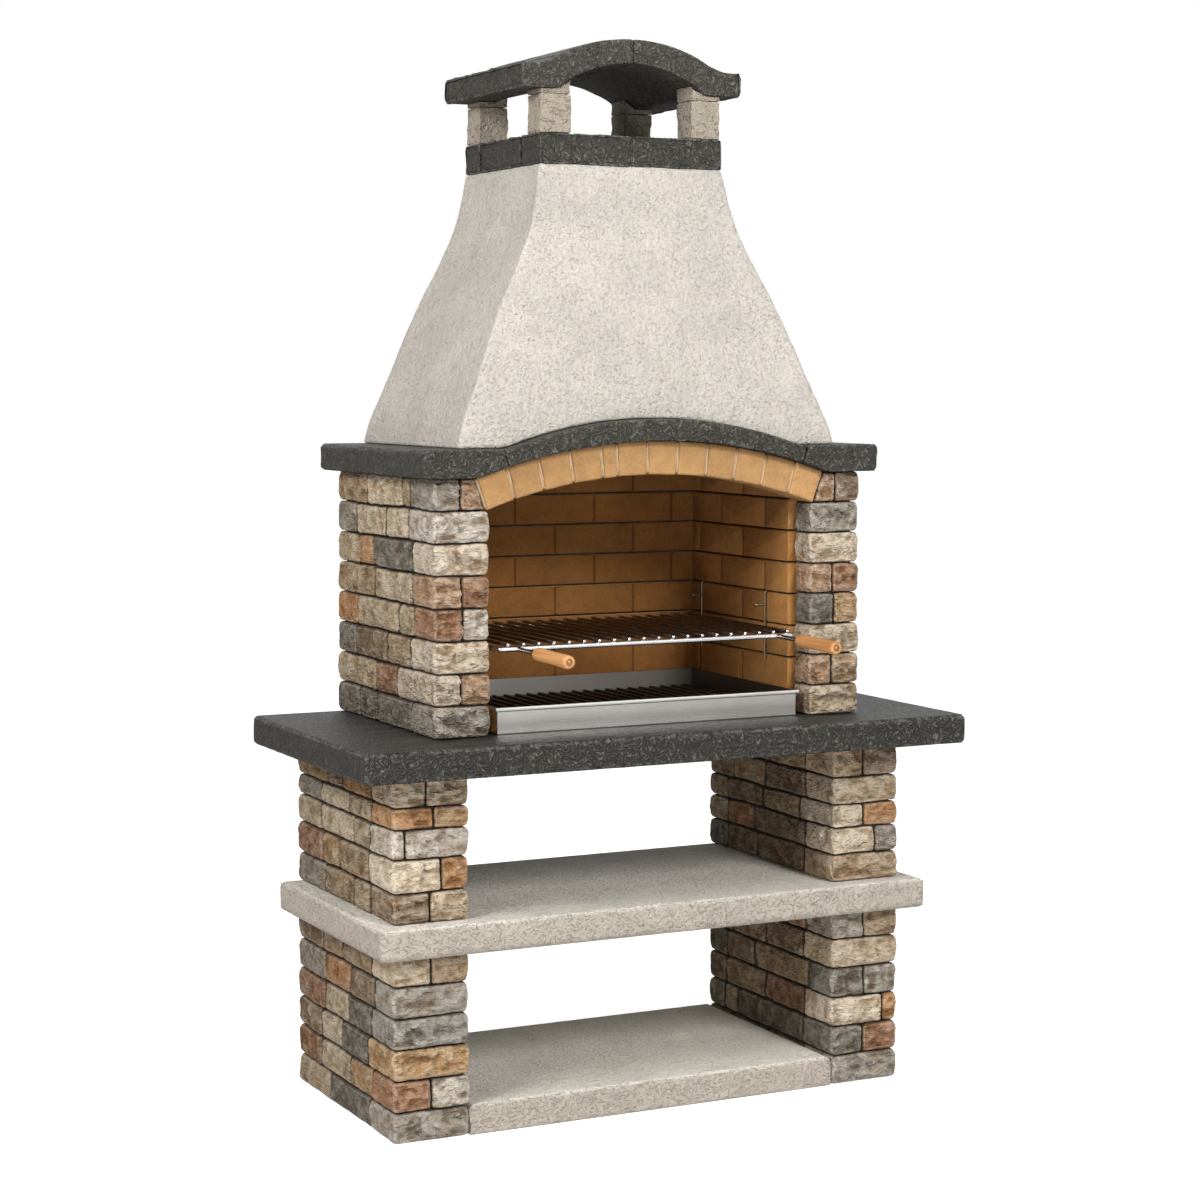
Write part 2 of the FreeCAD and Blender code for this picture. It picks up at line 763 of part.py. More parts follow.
def hanger(y):
    bend_start = vector(hanger_line + hanger_bend, y, anchor_level)
    bend_centre = vector(hanger_line + hanger_bend, y, anchor_level - hanger_bend)
    tail_end = vector(hanger_line, y, grill_height - hanger_tail)
    anchor = rod_along_x(bend_start.x, backing_face, y, anchor_level, hanger_wire)
    section = Part.Face(Part.Wire(Part.makeCircle(hanger_wire / 2, bend_start, vector(1, 0, 0))))
    bend = section.revolve(bend_centre, vector(0, -1, 0), 90)
    drop = Part.makeCylinder(hanger_wire / 2, bend_centre.z - tail_end.z, tail_end)
    pegs = [peg(y, peg_level), peg(y, anchor_level - spare_peg_drop)]
    return drop.fuse([anchor, bend] + pegs).removeSplitter()


for y, row_name in ((firebox_front + hanger_front, "front"), (rear_lining_face - hanger_rear, "rear")):
    right_hanger = hanger(y)
    save("grill_hanger_" + row_name + "_right", right_hanger)
    save("grill_hanger_" + row_name + "_left", right_hanger.mirror(vector(0, 0, 0), vector(1, 0, 0)))
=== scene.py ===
import math

import bmesh
import bpy
from mathutils import Matrix, Vector, noise


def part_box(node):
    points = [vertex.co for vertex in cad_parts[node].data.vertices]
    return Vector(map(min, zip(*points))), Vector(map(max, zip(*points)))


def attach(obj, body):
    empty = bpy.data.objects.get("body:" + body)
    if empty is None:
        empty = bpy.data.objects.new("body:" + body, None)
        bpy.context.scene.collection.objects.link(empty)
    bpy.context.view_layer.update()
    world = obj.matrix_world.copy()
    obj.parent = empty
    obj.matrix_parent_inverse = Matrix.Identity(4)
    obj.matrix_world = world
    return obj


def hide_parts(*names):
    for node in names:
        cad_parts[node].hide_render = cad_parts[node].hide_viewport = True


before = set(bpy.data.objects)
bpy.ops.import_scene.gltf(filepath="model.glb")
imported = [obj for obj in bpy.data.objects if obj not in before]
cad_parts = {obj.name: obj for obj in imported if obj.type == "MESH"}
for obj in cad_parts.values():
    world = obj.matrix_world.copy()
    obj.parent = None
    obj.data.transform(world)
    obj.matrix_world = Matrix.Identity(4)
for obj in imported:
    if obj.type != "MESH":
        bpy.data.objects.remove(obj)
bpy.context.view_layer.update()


# Split-stone piers. Each pier is a stack of courses of split stone, laid close on a little mortar. The front
# stones have chiselled faces, and the stones behind them are dressed and run through the full width.
stone_seed = 5
noise.seed_set(stone_seed)
stone_grid = 0.0058
stone_gap = 0.0011
end_gap = 0.0037
corner_round = 0.015
round_passes = 8
edge_reach = 0.013
cushion_depth = 0.006
cushion_reach = 0.022
arris_reach = 0.016
split_depth = 0.021
dressed_depth = 0.008
relief_limit = 0.010
mortar_recess = 0.017
# Brightness of front and side stones: the fronts painted lighter and the sides darker and warmer, as painted
# light and painted shade.
pier_painted_light = {"front": 1.19, "side": 0.82}
wall_painted_light = {"front": 1.05, "side": 0.93}
side_painted_shade_tint = (1.0, 0.97, 0.90)
jamb_thickness = 0.080
wall_return = 0.048
jamb_overlap = 0.02
bed_clearance = 0.002
touch = 0.0005
edge_cuts = (0.012, 0.019, 0.028)
proud_mean, proud_swing = 0.0015, 0.0025
split_flake, dressed_flake = 0.026, 0.04
relief_middle = 0.1
calm_floor = 0.2
settling = 0.15
split_mix = (0.45, 0.4, 0.35, 0.2)
dressed_mix = (0.5, 0.35, 0.15, 0.25)
ledge_along, ledge_up, ledge_count, ledge_wander = 15, 40, 2.6, 0.012
crest_along, crest_up, crest_bend, crest_fall = 17, 40, 0.5, 4.5
flake_tilt = 2.2
flat_angle = 0.002
stray_waves = ((0.0024, 9), (0.0014, 30))
stray_fade = 0.04
shade_swing = 0.10


def paint(red, green, blue):
    """A colour given as it looks on a screen, 0 to 255, as Blender's linear values."""
    channels = [value / 255 for value in (red, green, blue)]
    return tuple(c / 12.92 if c <= 0.04045 else ((c + 0.055) / 1.055) ** 2.4 for c in channels) + (1.0,)


stone_colours = {
    "cream": paint(228, 214, 192),
    "beige": paint(208, 191, 166),
    "tan": paint(190, 167, 138),
    "ochre": paint(202, 170, 128),
    "orange": paint(200, 154, 108),
    "pink": paint(196, 164, 134),
    "russet": paint(170, 130, 100),
    "brown": paint(160, 138, 114),
    "grey": paint(170, 164, 153),
    "pale": paint(216, 209, 196),
    "slate": paint(136, 131, 122),
    "blue": paint(162, 160, 152),
}
pier_colours = {
    "left_lower_pier": """
        grey  slate beige
        russet pale  ochre cream russet
        ochre  slate cream brown
        blue  slate cream russet
        grey  brown orange grey
        beige tan  tan tan brown""",
    "right_lower_pier": """
        grey  brown slate brown
        slate russet  slate beige grey
        cream orange  russet tan brown
        slate grey  tan brown slate
        beige  brown tan brown
        grey tan  orange tan brown""",
    "left_upper_pier": """
        brown beige  beige tan grey
        cream orange  tan ochre russet
        pale pale  beige cream beige
        orange ochre  beige cream grey
        beige beige  orange brown ochre""",
    "right_upper_pier": """
        tan  brown brown slate
        cream grey  brown orange beige
        cream orange  tan brown tan
        beige  brown tan brown
        tan brown  tan brown tan""",
    "left_firebox_stones": """
        grey  slate slate slate
        cream pink  russet beige
        cream  tan brown slate
        russet pale  beige beige orange
        pink russet  cream tan
        cream  slate orange beige
        pale  cream cream grey
        grey pink  tan cream tan""",
    "right_firebox_stones": """
        beige  beige brown grey
        pink tan  tan grey
        beige  grey cream tan
        slate ochre  beige russet tan
        pink russet  tan beige slate
        cream  ochre grey
        grey  beige tan brown
        pink brown  grey tan beige""",
}


def solids_of(node):
    """The CAD node's separate solids, each a list of face rings, told apart by where a shell closes."""
    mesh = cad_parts[node].data
    places = [tuple(round(c, 6) for c in vertex.co) for vertex in mesh.vertices]
    solids, faces, open_edges = [], [], set()
    for polygon in mesh.polygons:
        ring = [places[i] for i in polygon.vertices]
        faces.append(ring)
        for edge in zip(ring, ring[1:] + ring[:1]):
            if edge[::-1] in open_edges:
                open_edges.remove(edge[::-1])
            else:
                open_edges.add(edge)
        if not open_edges:
            solids.append(faces)
            faces = []
    return solids


def shell(faces):
    """A bmesh of one solid, with its flat faces whole."""
    bm = bmesh.new()
    corners = {}
    for ring in faces:
        for place in ring:
            if place not in corners:
                corners[place] = bm.verts.new(place)
        bm.faces.new([corners[place] for place in ring])
    bmesh.ops.dissolve_limit(bm, angle_limit=flat_angle, verts=bm.verts[:], edges=bm.edges[:])
    return bm


def span(bm, axis):
    values = [vertex.co[axis] for vertex in bm.verts]
    return min(values), max(values)


def rule_at(bm, axis, cuts):
    """Cuts the shell across one axis at each of the places."""
    across = Vector((0, 0, 0))
    across[axis] = 1
    for cut in cuts:
        geom = bm.verts[:] + bm.edges[:] + bm.faces[:]
        bmesh.ops.bisect_plane(bm, geom=geom, plane_co=across * cut, plane_no=across)


def rule(bm, axis, step):
    """Cuts the shell across one axis into equal steps."""
    low, high = span(bm, axis)
    count = max(1, round((high - low) / step))
    rule_at(bm, axis, [low + (high - low) * number / count for number in range(1, count)])


def settle(bm, vertices, factor):
    """Draws each vertex towards its neighbours."""
    bmesh.ops.smooth_vert(bm, verts=vertices, factor=factor,
                          use_axis_x=True, use_axis_y=True, use_axis_z=True)


def plain_block(start, end):
    """A box from one corner to the other."""
    bm = bmesh.new()
    place = Matrix.Translation((start + end) / 2) @ Matrix.Diagonal((*(end - start), 1))
    bmesh.ops.create_cube(bm, size=1, matrix=place)
    return bm


def show(name, data):
    """Puts a mesh, a lamp or a camera into the scene."""
    shown = bpy.data.objects.new(name, data)
    bpy.context.scene.collection.objects.link(shown)
    return shown


class Pile:
    """Gathers finished shells, with a colour and two surface values at each vertex, into one mesh."""

    def __init__(self):
        self.places, self.faces, self.tint, self.relief, self.joint = [], [], [], [], []

    def add(self, bm, tint, relief=None, joint=None):
        bm.verts.index_update()
        start = len(self.places)
        even = [0.0] * len(bm.verts)
        self.places += [vertex.co[:] for vertex in bm.verts]
        self.faces += [[start + vertex.index for vertex in face.verts] for face in bm.faces]
        self.tint += [tint] * len(bm.verts)
        self.relief += relief or even
        self.joint += joint or even
        bm.free()

    def make(self, name, material, slot, *nodes, crease=60):
        mesh = bpy.data.meshes.new(name)
        mesh.from_pydata(self.places, [], self.faces)
        colours = mesh.attributes.new("tint", "FLOAT_COLOR", "POINT")
        colours.data.foreach_set("color", [c for colour in self.tint for c in colour])
        for key, values in (("relief", self.relief), ("joint", self.joint)):
            mesh.attributes.new(key, "FLOAT", "POINT").data.foreach_set("value", values)
        mesh.shade_smooth()
        mesh.set_sharp_from_angle(angle=math.radians(crease))
        mesh.materials.append(material)
        piece = show(name, mesh)
        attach(piece, "masonry")
        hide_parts(*nodes)


def facet(place, size):
    """Height of a chipped face: flat flakes, each with its own tilt, about minus 1 to 1."""
    at = Vector(place) / size
    cell = noise.voronoi(at)[1][0]
    tilt = noise.noise_vector(cell * 3.7 + Vector((5.1, 2.3, 7.9)))
    return max(-1.0, min(1.0, flake_tilt * tilt.dot(at - cell)))


def ledges(place):
    """Height of a split face: layers that break off in steps, about minus 1 to 1."""
    up = place.z + ledge_wander * noise.noise(place * 20)
    at = Vector((place.x * ledge_along, place.y * ledge_along, up * ledge_up))
    level = ledge_count * noise.noise(at)
    step = math.floor(level)
    rise = min(1.0, max(0.0, (level - step - 0.3) / 0.4))
    return (step + rise * rise * (3 - 2 * rise)) / 1.6


def crests(place):
    """Height of the crests between flakes: sharp lines that run more along a course than across it, to 1."""
    at = Vector((place.x * crest_along, place.y * crest_along, place.z * crest_up))
    at += crest_bend * noise.noise_vector(place * 45)
    return max(-1.0, 1 - crest_fall * abs(noise.noise(at)))


def soften_corners(bm, exposed):
    """Rounds the corners that an exposed face shows, but not the edges where two exposed faces meet."""
    corners = []
    for edge in bm.edges:
        one, two = edge.verts
        run = two.co - one.co
        for axis, _, value in exposed:
            along = abs(run[axis]) > 0.9 * run.length
            touching = min(abs(one.co[axis] - value), abs(two.co[axis] - value)) < touch
            shared = any(other != axis and abs(one.co[other] - level) < touch for other, _, level in exposed)
            if along and touching and not shared:
                corners.append(edge)
                break
    bmesh.ops.bevel(bm, geom=corners, offset=corner_round, segments=3, profile=0.5, affect="EDGES")


def stray(place, low, high):
    """How far the masonry strays from its lines at a place: stones and joints stray together."""
    (slow, slow_scale), (quick, quick_scale) = stray_waves
    shift = slow * noise.noise_vector(place * slow_scale) + quick * noise.noise_vector(place * quick_scale)
    shift.z *= max(0.0, min(1.0, (place.z - low.z) / stray_fade, (high.z - place.z) / stray_fade))
    return shift


def worn_stone(faces, sides, seed, box):
    """One stone: its corners are rounded, and its exposed faces are split or dressed uneven."""
    bm = shell(faces)
    low = [span(bm, axis)[0] for axis in range(3)]
    high = [span(bm, axis)[1] for axis in range(3)]
    exposed = [side for side in sides if abs((high if side[1] > 0 else low)[side[0]] - side[2]) < touch]
    soften_corners(bm, exposed)
    rule(bm, 2, stone_grid)
    for axis in (0, 1):
        if any(face[0] == 1 - axis for face in exposed):
            rule(bm, axis, stone_grid)
        else:
            rule_at(bm, axis, [value - sign * depth for _, sign, value in exposed for depth in edge_cuts])
    bm.normal_update()
    for vertex, normal in [(v, v.normal.copy()) for v in bm.verts]:
        ends = abs(normal.y) > 0.6 and all(face[0] == 0 for face in exposed)
        vertex.co -= normal * (end_gap if ends else stone_gap)
    for _ in range(round_passes):
        settle(bm, bm.verts[:], 0.5)
    bm.normal_update()
    proud = proud_mean + proud_swing * noise.noise(Vector((seed * 1.7, 3.1, 0.4)))
    away = Vector((seed * 2.3, seed, 0))
    open_faces = [(axis, value) for axis, _, value in exposed]
    borders = [(axis, end) for axis in range(3) for end in (low[axis], high[axis])
               if not any(axis == way and abs(end - value) < touch for way, value in open_faces)]
    relief, joint, moved = [], [], []
    for vertex in bm.verts:
        place = vertex.co + away
        near = [(1 - abs(vertex.co[axis] - value) / edge_reach, axis) for axis, _, value in exposed]
        weight, axis = max(near, default=(0, 0))
        weight *= vertex.normal[axis] ** 2
        height = 0.0
        shift = stray(vertex.co, *box)
        if weight > 0:
            weight = min(1.0, weight * 1.25)
            rims = [abs(vertex.co[way] - end) for way, end in borders if way != axis]
            cushion = cushion_depth * max(0.0, 1 - min(rims) / cushion_reach) ** 2
            arris = [abs(vertex.co[way] - value) for way, value in open_faces if way != axis]
            calm = min(1.0, calm_floor + (1 - calm_floor) * min(rims + arris) / arris_reach)
            if axis == 1:
                mix, reach, broad = split_mix, split_depth, (ledges(place), facet(place, split_flake))
            else:
                swell = noise.noise(place * 32)
                mix, reach, broad = dressed_mix, dressed_depth, (facet(place, dressed_flake), swell)
            fine = (crests(place), noise.noise(place * 150))
            height = sum(share * part for share, part in zip(mix, broad + fine))
            depth = reach * (height - relief_middle)
            broken = calm * relief_limit * math.tanh(depth / relief_limit)
            shift += vertex.normal * weight * (broken + proud - cushion)
        moved.append(shift)
        relief.append(height)
        joint.append(1 - max(0.0, weight))
    for vertex, shift in zip(bm.verts, moved):
        vertex.co += shift
    uneven = [vertex for vertex, inside in zip(bm.verts, joint) if inside < 1]
    settle(bm, uneven, settling)
    return bm, relief, joint


def mortar_beds(node, low, high):
    """The boxes of mortar behind the open joints of a pier, or of a wall and its jamb."""
    inset = Vector((mortar_recess, mortar_recess, bed_clearance))
    if node.endswith("pier"):
        return [(low + inset, high - inset)]
    outer = low.x if low.x < 0 else high.x
    jamb = high.x if low.x < 0 else low.x
    wall = jamb + math.copysign(wall_return, outer)
    beds = []
    for inner, front, rear in ((jamb, low.y, low.y + jamb_thickness), (wall, low.y + jamb_overlap, high.y)):
        start = Vector((min(outer, inner), front, low.z)) + inset
        end = Vector((max(outer, inner), rear, high.z)) - inset
        beds.append((start, end))
        outer -= math.copysign(bed_clearance, outer)
    return beds


def build_stones(node, material):
    pile = Pile()
    low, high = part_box(node)
    sides = [(0, -1, low.x), (0, 1, high.x), (1, -1, low.y), (1, 1, high.y)]
    stones = []
    for faces in solids_of(node):
        corner = [min(place[axis] for ring in faces for place in ring) for axis in range(3)]
        stones.append(((round(corner[2], 3), round(corner[1], 3), corner[0]), faces))
    stones.sort(key=lambda stone: stone[0])
    names = pier_colours[node].split()
    for number, ((_, faces), colour) in enumerate(zip(stones, names)):
        seed = number * 0.37 + low.x * 3 + low.z
        in_front = min(place[1] for ring in faces for place in ring) < low.y + touch
        # Front stones are painted lighter and side stones darker and warmer, as painted light and shade; the
        # swing is each stone's own tone.
        painted_light = pier_painted_light if node.endswith("pier") else wall_painted_light
        shade = painted_light["front" if in_front else "side"]
        shade *= 1 + shade_swing * noise.noise(Vector((seed * 5, 1.5, 2.5)))
        warmth = (1, 1, 1) if in_front else side_painted_shade_tint
        tint = tuple(c * shade * w for c, w in zip(stone_colours[colour], warmth)) + (1.0,)
        bm, relief, joint = worn_stone(faces, sides, seed, (low, high))
        pile.add(bm, tint, relief, joint)
    for start, end in mortar_beds(node, low, high):
        pile.add(plain_block(start, end), stone_colours["grey"], joint=[1.0] * 8)
    name = node + "_stones" if node.endswith("pier") else node.replace("stones", "walls")
    pile.make(name, material, "split_stone", node)


def put(tree, kind, inputs=None, **settings):
    """A shader node with its settings, and its sockets joined or set by name or number."""
    made = tree.nodes.new(kind)
    for key, value in settings.items():
        setattr(made, key, value)
    for key, value in (inputs or {}).items():
        if isinstance(value, bpy.types.NodeSocket):
            tree.links.new(value, made.inputs[key])
        else:
            made.inputs[key].default_value = value
    return made


def blend(tree, how, factor, base, top):
    """Mixes two colours, and gives the result."""
    made = put(tree, "ShaderNodeMix", {0: factor, 6: base, 7: top}, data_type="RGBA", blend_type=how)
    return made.outputs[2]


def coats(tree, colour, *layers):
    """Lays one colour after another over the first: (how, factor, colour)."""
    for how, factor, top in layers:
        colour = blend(tree, how, factor, colour, top)
    return colour


def reckon(tree, how, first, second):
    return put(tree, "ShaderNodeMath", {0: first, 1: second}, operation=how).outputs[0]


def times(tree, first, second):
    return reckon(tree, "MULTIPLY", first, second)


def plus(tree, first, second):
    return reckon(tree, "ADD", first, second)


def minus(tree, first, second):
    return reckon(tree, "SUBTRACT", first, second)


def arrow(tree, how, *parts):
    """Reckons with vectors; a dot product gives a value."""
    made = put(tree, "ShaderNodeVectorMath", dict(enumerate(parts)), operation=how)
    return made.outputs["Value" if how == "DOT_PRODUCT" else 0]


def stored(tree, name, output="Fac"):
    """A value that the mesh holds at each vertex."""
    return put(tree, "ShaderNodeAttribute", attribute_name=name).outputs[output]


def place_in(tree):
    return put(tree, "ShaderNodeTexCoord").outputs["Object"]


def stretch(tree, where, scale):
    return put(tree, "ShaderNodeMapping", {"Vector": where, "Scale": scale}).outputs[0]


def clouds(tree, where, scale, detail, **more):
    """Soft noise, about 0.5 on the whole."""
    sockets = {"Vector": where, "Scale": scale, "Detail": detail, **more}
    return put(tree, "ShaderNodeTexNoise", sockets).outputs["Fac"]


def feed(tree, shader, colour, rough=None):
    """Joins the colour to the shader, and the roughness where it varies."""
    tree.links.new(colour, shader.inputs["Base Color"])
    if rough is not None:
        tree.links.new(rough, shader.inputs["Roughness"])


def roughen(tree, shader, height, strength, distance):
    bump = put(tree, "ShaderNodeBump", {"Strength": strength, "Distance": distance, "Height": height})
    tree.links.new(bump.outputs[0], shader.inputs["Normal"])


def between(tree, value, low, high, low_out=0.0, high_out=1.0):
    sockets = {"Value": value, "From Min": low, "From Max": high, "To Min": low_out, "To Max": high_out}
    return put(tree, "ShaderNodeMapRange", sockets).outputs[0]


def new_finish(name, **plain):
    """A material with one Principled shader, whose plain values are set on its own sockets."""
    material = bpy.data.materials.new(name)
    material.use_nodes = True
    tree = material.node_tree
    shader = tree.nodes["Principled BSDF"]
    for key, value in plain.items():
        shader.inputs[key.replace("_", " ").title().replace("Ior", "IOR")].default_value = value
    return material, tree, shader


def new_group(name, inputs, outputs):
    """An empty node group with named sockets: (name, kind, default)."""
    group = bpy.data.node_groups.new(name, "ShaderNodeTree")
    for label, kind, value in inputs:
        socket = group.interface.new_socket(label, in_out="INPUT", socket_type="NodeSocket" + kind)
        socket.default_value = value
    for label, kind in outputs:
        group.interface.new_socket(label, in_out="OUTPUT", socket_type="NodeSocket" + kind)
    return group, group.nodes.new("NodeGroupInput"), group.nodes.new("NodeGroupOutput")


def mineral_grain():
    """Mottling, specks and a fine grit, for everything cast or split from mineral."""
    group, given, result = new_group(
        "mineral_grain",
        [("Color", "Color", (0.5, 0.5, 0.5, 1)), ("Patch", "Float", 30.0), ("Contrast", "Float", 0.5),
         ("Specks", "Float", 0.3)],
        [("Color", "Color"), ("Grit", "Float")])
    where = place_in(group)
    patch = clouds(group, where, given.outputs["Patch"], 6.0, Roughness=0.62)
    cloud = clouds(group, where, 7.0, 3.0)
    grit = clouds(group, where, 420.0, 3.0)
    swing = times(group, minus(group, patch, 0.5), given.outputs["Contrast"])
    swing = plus(group, swing, times(group, minus(group, cloud, 0.5), 0.35))
    level = plus(group, 1.0, swing)
    grey = put(group, "ShaderNodeCombineColor", {0: level, 1: level, 2: level}).outputs[0]
    dark = times(group, between(group, grit, 0.62, 0.70), given.outputs["Specks"])
    light = times(group, between(group, grit, 0.38, 0.30), given.outputs["Specks"])
    colour = coats(
        group, given.outputs["Color"],
        ("MULTIPLY", 1.0, grey),
        ("MULTIPLY", dark, (0.45, 0.42, 0.40, 1)),
        ("SCREEN", light, (0.16, 0.15, 0.14, 1)))
    group.links.new(colour, result.inputs["Color"])
    group.links.new(grit, result.inputs["Grit"])
    return group


grain_group = mineral_grain()


def grained(tree, colour, patch, contrast, specks):
    """A colour with the mineral grain on it, and the grain's grit."""
    sockets = {"Color": colour, "Patch": patch, "Contrast": contrast, "Specks": specks}
    return put(tree, "ShaderNodeGroup", sockets, node_tree=grain_group).outputs


def wormy_skin():
    """The skin of the castings: curling lines that run side by side and break off, on a lumpy ground."""
    group, given, result = new_group(
        "wormy_skin",
        [("Scale", "Float", 30.0), ("Turns", "Float", 5.0), ("Width", "Float", 0.17),
         ("Flatten", "Float", 1.0), ("Chop", "Float", 2.2), ("Bare", "Float", 0.42)],
        [("Stroke", "Float"), ("Waves", "Float"), ("Lumps", "Float")])
    where = place_in(group)
    squash = put(group, "ShaderNodeCombineXYZ", {0: 1.0, 1: 1.0, 2: given.outputs["Flatten"]}).outputs[0]
    flat = arrow(group, "MULTIPLY", where, squash)
    curl = clouds(group, flat, given.outputs["Scale"], 2.5, Roughness=0.45, Distortion=0.5)
    phase = reckon(group, "FRACT", times(group, curl, given.outputs["Turns"]), 0.0)
    off = reckon(group, "ABSOLUTE", minus(group, phase, 0.5), 0.0)
    line = between(group, off, 0.0, given.outputs["Width"], 1.0, 0.0)
    other = arrow(group, "ADD", flat, (3.7, 1.9, 5.3))
    often = times(group, given.outputs["Scale"], given.outputs["Chop"])
    breaks = clouds(group, other, often, 2.0)
    bare = given.outputs["Bare"]
    stroke = times(group, line, between(group, breaks, bare, plus(group, bare, 0.12)))
    lumps = clouds(group, where, 90.0, 5.0, Roughness=0.6)
    group.links.new(stroke, result.inputs["Stroke"])
    group.links.new(times(group, off, 2.0), result.inputs["Waves"])
    group.links.new(lumps, result.inputs["Lumps"])
    return group


skin_group = wormy_skin()


def skinned(tree, **values):
    """The skin's strokes, waves and lumps."""
    sockets = {key.title(): value for key, value in values.items()}
    return put(tree, "ShaderNodeGroup", sockets, node_tree=skin_group).outputs


def split_stone_finish():
    material, tree, shader = new_finish("split_stone", roughness=0.9, specular_ior_level=0.25)
    relief = stored(tree, "relief")
    joint = stored(tree, "joint")
    where = place_in(tree)
    grain = grained(tree, stored(tree, "tint", "Color"), 30.0, 0.5, 0.45)
    stretched = stretch(tree, where, (1.0, 1.0, 3.0))
    stain = clouds(tree, stretched, 17.0, 4.0, Distortion=0.8)
    sockets = {"Vector": stretched, "Scale": 42.0, "Detail": 4.0, "Roughness": 0.55, "Distortion": 1.2}
    ridges = put(tree, "ShaderNodeTexNoise", sockets, noise_type="RIDGED_MULTIFRACTAL").outputs["Fac"]
    warp = put(tree, "ShaderNodeTexNoise", {"Vector": where, "Scale": 34.0, "Detail": 2.0}).outputs["Color"]
    bent = arrow(tree, "MULTIPLY_ADD", warp, (0.03, 0.03, 0.03), where)
    flat = stretch(tree, bent, (1.0, 1.0, 1.7))
    flake = put(tree, "ShaderNodeTexVoronoi", {"Vector": flat, "Scale": 50.0}).outputs["Distance"]
    marks = skinned(tree, scale=15.0, turns=8.0, width=0.17, flatten=1.7, bare=0.36)
    rim = times(tree, between(tree, joint, 0.04, 0.2), between(tree, joint, 0.6, 0.4))
    feed(tree, shader, coats(
        tree, grain["Color"],
        ("MULTIPLY", between(tree, stain, 0.5, 0.68, 0.0, 0.7), (0.93, 0.78, 0.62, 1)),
        # Dark veins along the ridged noise, which also paint shade into thin crevices.
        ("MULTIPLY", between(tree, ridges, 0.75, 0.2, 0.0, 0.48), (0.55, 0.49, 0.42, 1)),
        ("MULTIPLY", between(tree, flake, 0.4, 0.1, 0.0, 0.45), (0.62, 0.55, 0.48, 1)),
        ("SCREEN", between(tree, flake, 0.5, 0.75, 0.0, 0.7), (0.12, 0.11, 0.10, 1)),
        # Raised relief is painted lighter and sunk relief darker: a painted highlight and painted shade.
        ("SCREEN", between(tree, relief, 0.05, 0.7, 0.0, 0.9), (0.17, 0.158, 0.14, 1)),
        ("MULTIPLY", between(tree, relief, 0.05, -0.5, 0.0, 0.95), (0.50, 0.43, 0.36, 1)),
        ("MULTIPLY", times(tree, marks["Stroke"], 0.16), (0.55, 0.46, 0.37, 1)),
        # Lighter along the rims of the stone faces: worn edges and a painted highlight.
        ("SCREEN", times(tree, rim, 0.7), (0.16, 0.15, 0.13, 1)),
        ("MIX", between(tree, joint, 0.8, 1.0, 0.0, 0.95), paint(70, 61, 52))))
    height = plus(tree, times(tree, ridges, 1.05), times(tree, grain["Grit"], 0.3))
    height = plus(tree, height, times(tree, marks["Waves"], 0.14))
    height = plus(tree, height, times(tree, flake, 0.6))
    height = plus(tree, height, times(tree, marks["Lumps"], 0.65))
    roughen(tree, shader, height, 1.0, 0.014)
    return material


split_stone = split_stone_finish()
for pier in ("left_lower_pier", "right_lower_pier", "left_upper_pier", "right_upper_pier"):
    build_stones(pier, split_stone)


# Base slab and storage shelf. Both are cast in pale concrete with a rough, wormy skin and soft edges, and
# the piers stand beside the one and on the other.
slab_grid = 0.011
sharp_turn = math.radians(35)
corner_turn = 0.22
trowelled_share = 0.25
skin_waves = ((24, 0.6), (75, 0.4))
skin_sink = 0.6
bite_scale, bite_share = 30, 0.15
seam_gap = 0.0002


def worn_slab(faces, step, bevel, depth, bite, seed, seam=None):
    """A cast block: rounded, bitten edges and a lightly uneven skin, but a plain face at a seam."""
    bm = shell(faces)
    if bevel:
        sharp = [e for e in bm.edges if e.calc_face_angle(0) > sharp_turn]
        bmesh.ops.bevel(bm, geom=sharp, offset=bevel, segments=2, profile=0.5, affect="EDGES")
    for axis in range(3):
        rule(bm, axis, step)
    bm.normal_update()
    outward = [vertex.normal.copy() for vertex in bm.verts]
    relief, joint = [], []
    for vertex, normal in zip(bm.verts, outward):
        place = vertex.co + Vector((seed, 0, 0))
        corner = min(1.0, (1 - max(abs(c) for c in normal)) / corner_turn)
        skin = sum(noise.noise(place * scale) * share for scale, share in skin_waves)
        bitten = max(0.0, noise.noise(place * bite_scale + Vector((4, 0, 0))) + bite_share)
        flat = trowelled_share if abs(normal.z) > 0.9 else 1.0
        shift = normal * (depth * flat * (skin - skin_sink) - corner * bite * bitten)
        if seam is not None and abs(vertex.co.x - seam) < touch:
            shift.x = -math.copysign(seam_gap, normal.x)
        vertex.co += shift
        relief.append(skin)
        joint.append(corner)
    return bm, relief, joint


def build_cast(name, node, material, slot, bevel, depth, bite, step=slab_grid, shade=1.0, seam=None):
    pile = Pile()
    for number, faces in enumerate(solids_of(node)):
        bm, relief, joint = worn_slab(faces, step, bevel, depth, bite, number * 0.71, seam)
        # The shade scales the whole piece's colour; on the dark concrete it paints lighter or darker copies
        # of one material, as painted light and shade.
        pile.add(bm, (shade, shade, shade, 1.0), relief, joint)
    pile.make(name, material, slot, node, crease=50)


def axes_of(tree, vector):
    return put(tree, "ShaderNodeSeparateXYZ", {0: vector}).outputs


def facing_in(tree):
    return axes_of(tree, put(tree, "ShaderNodeNewGeometry").outputs["Normal"])


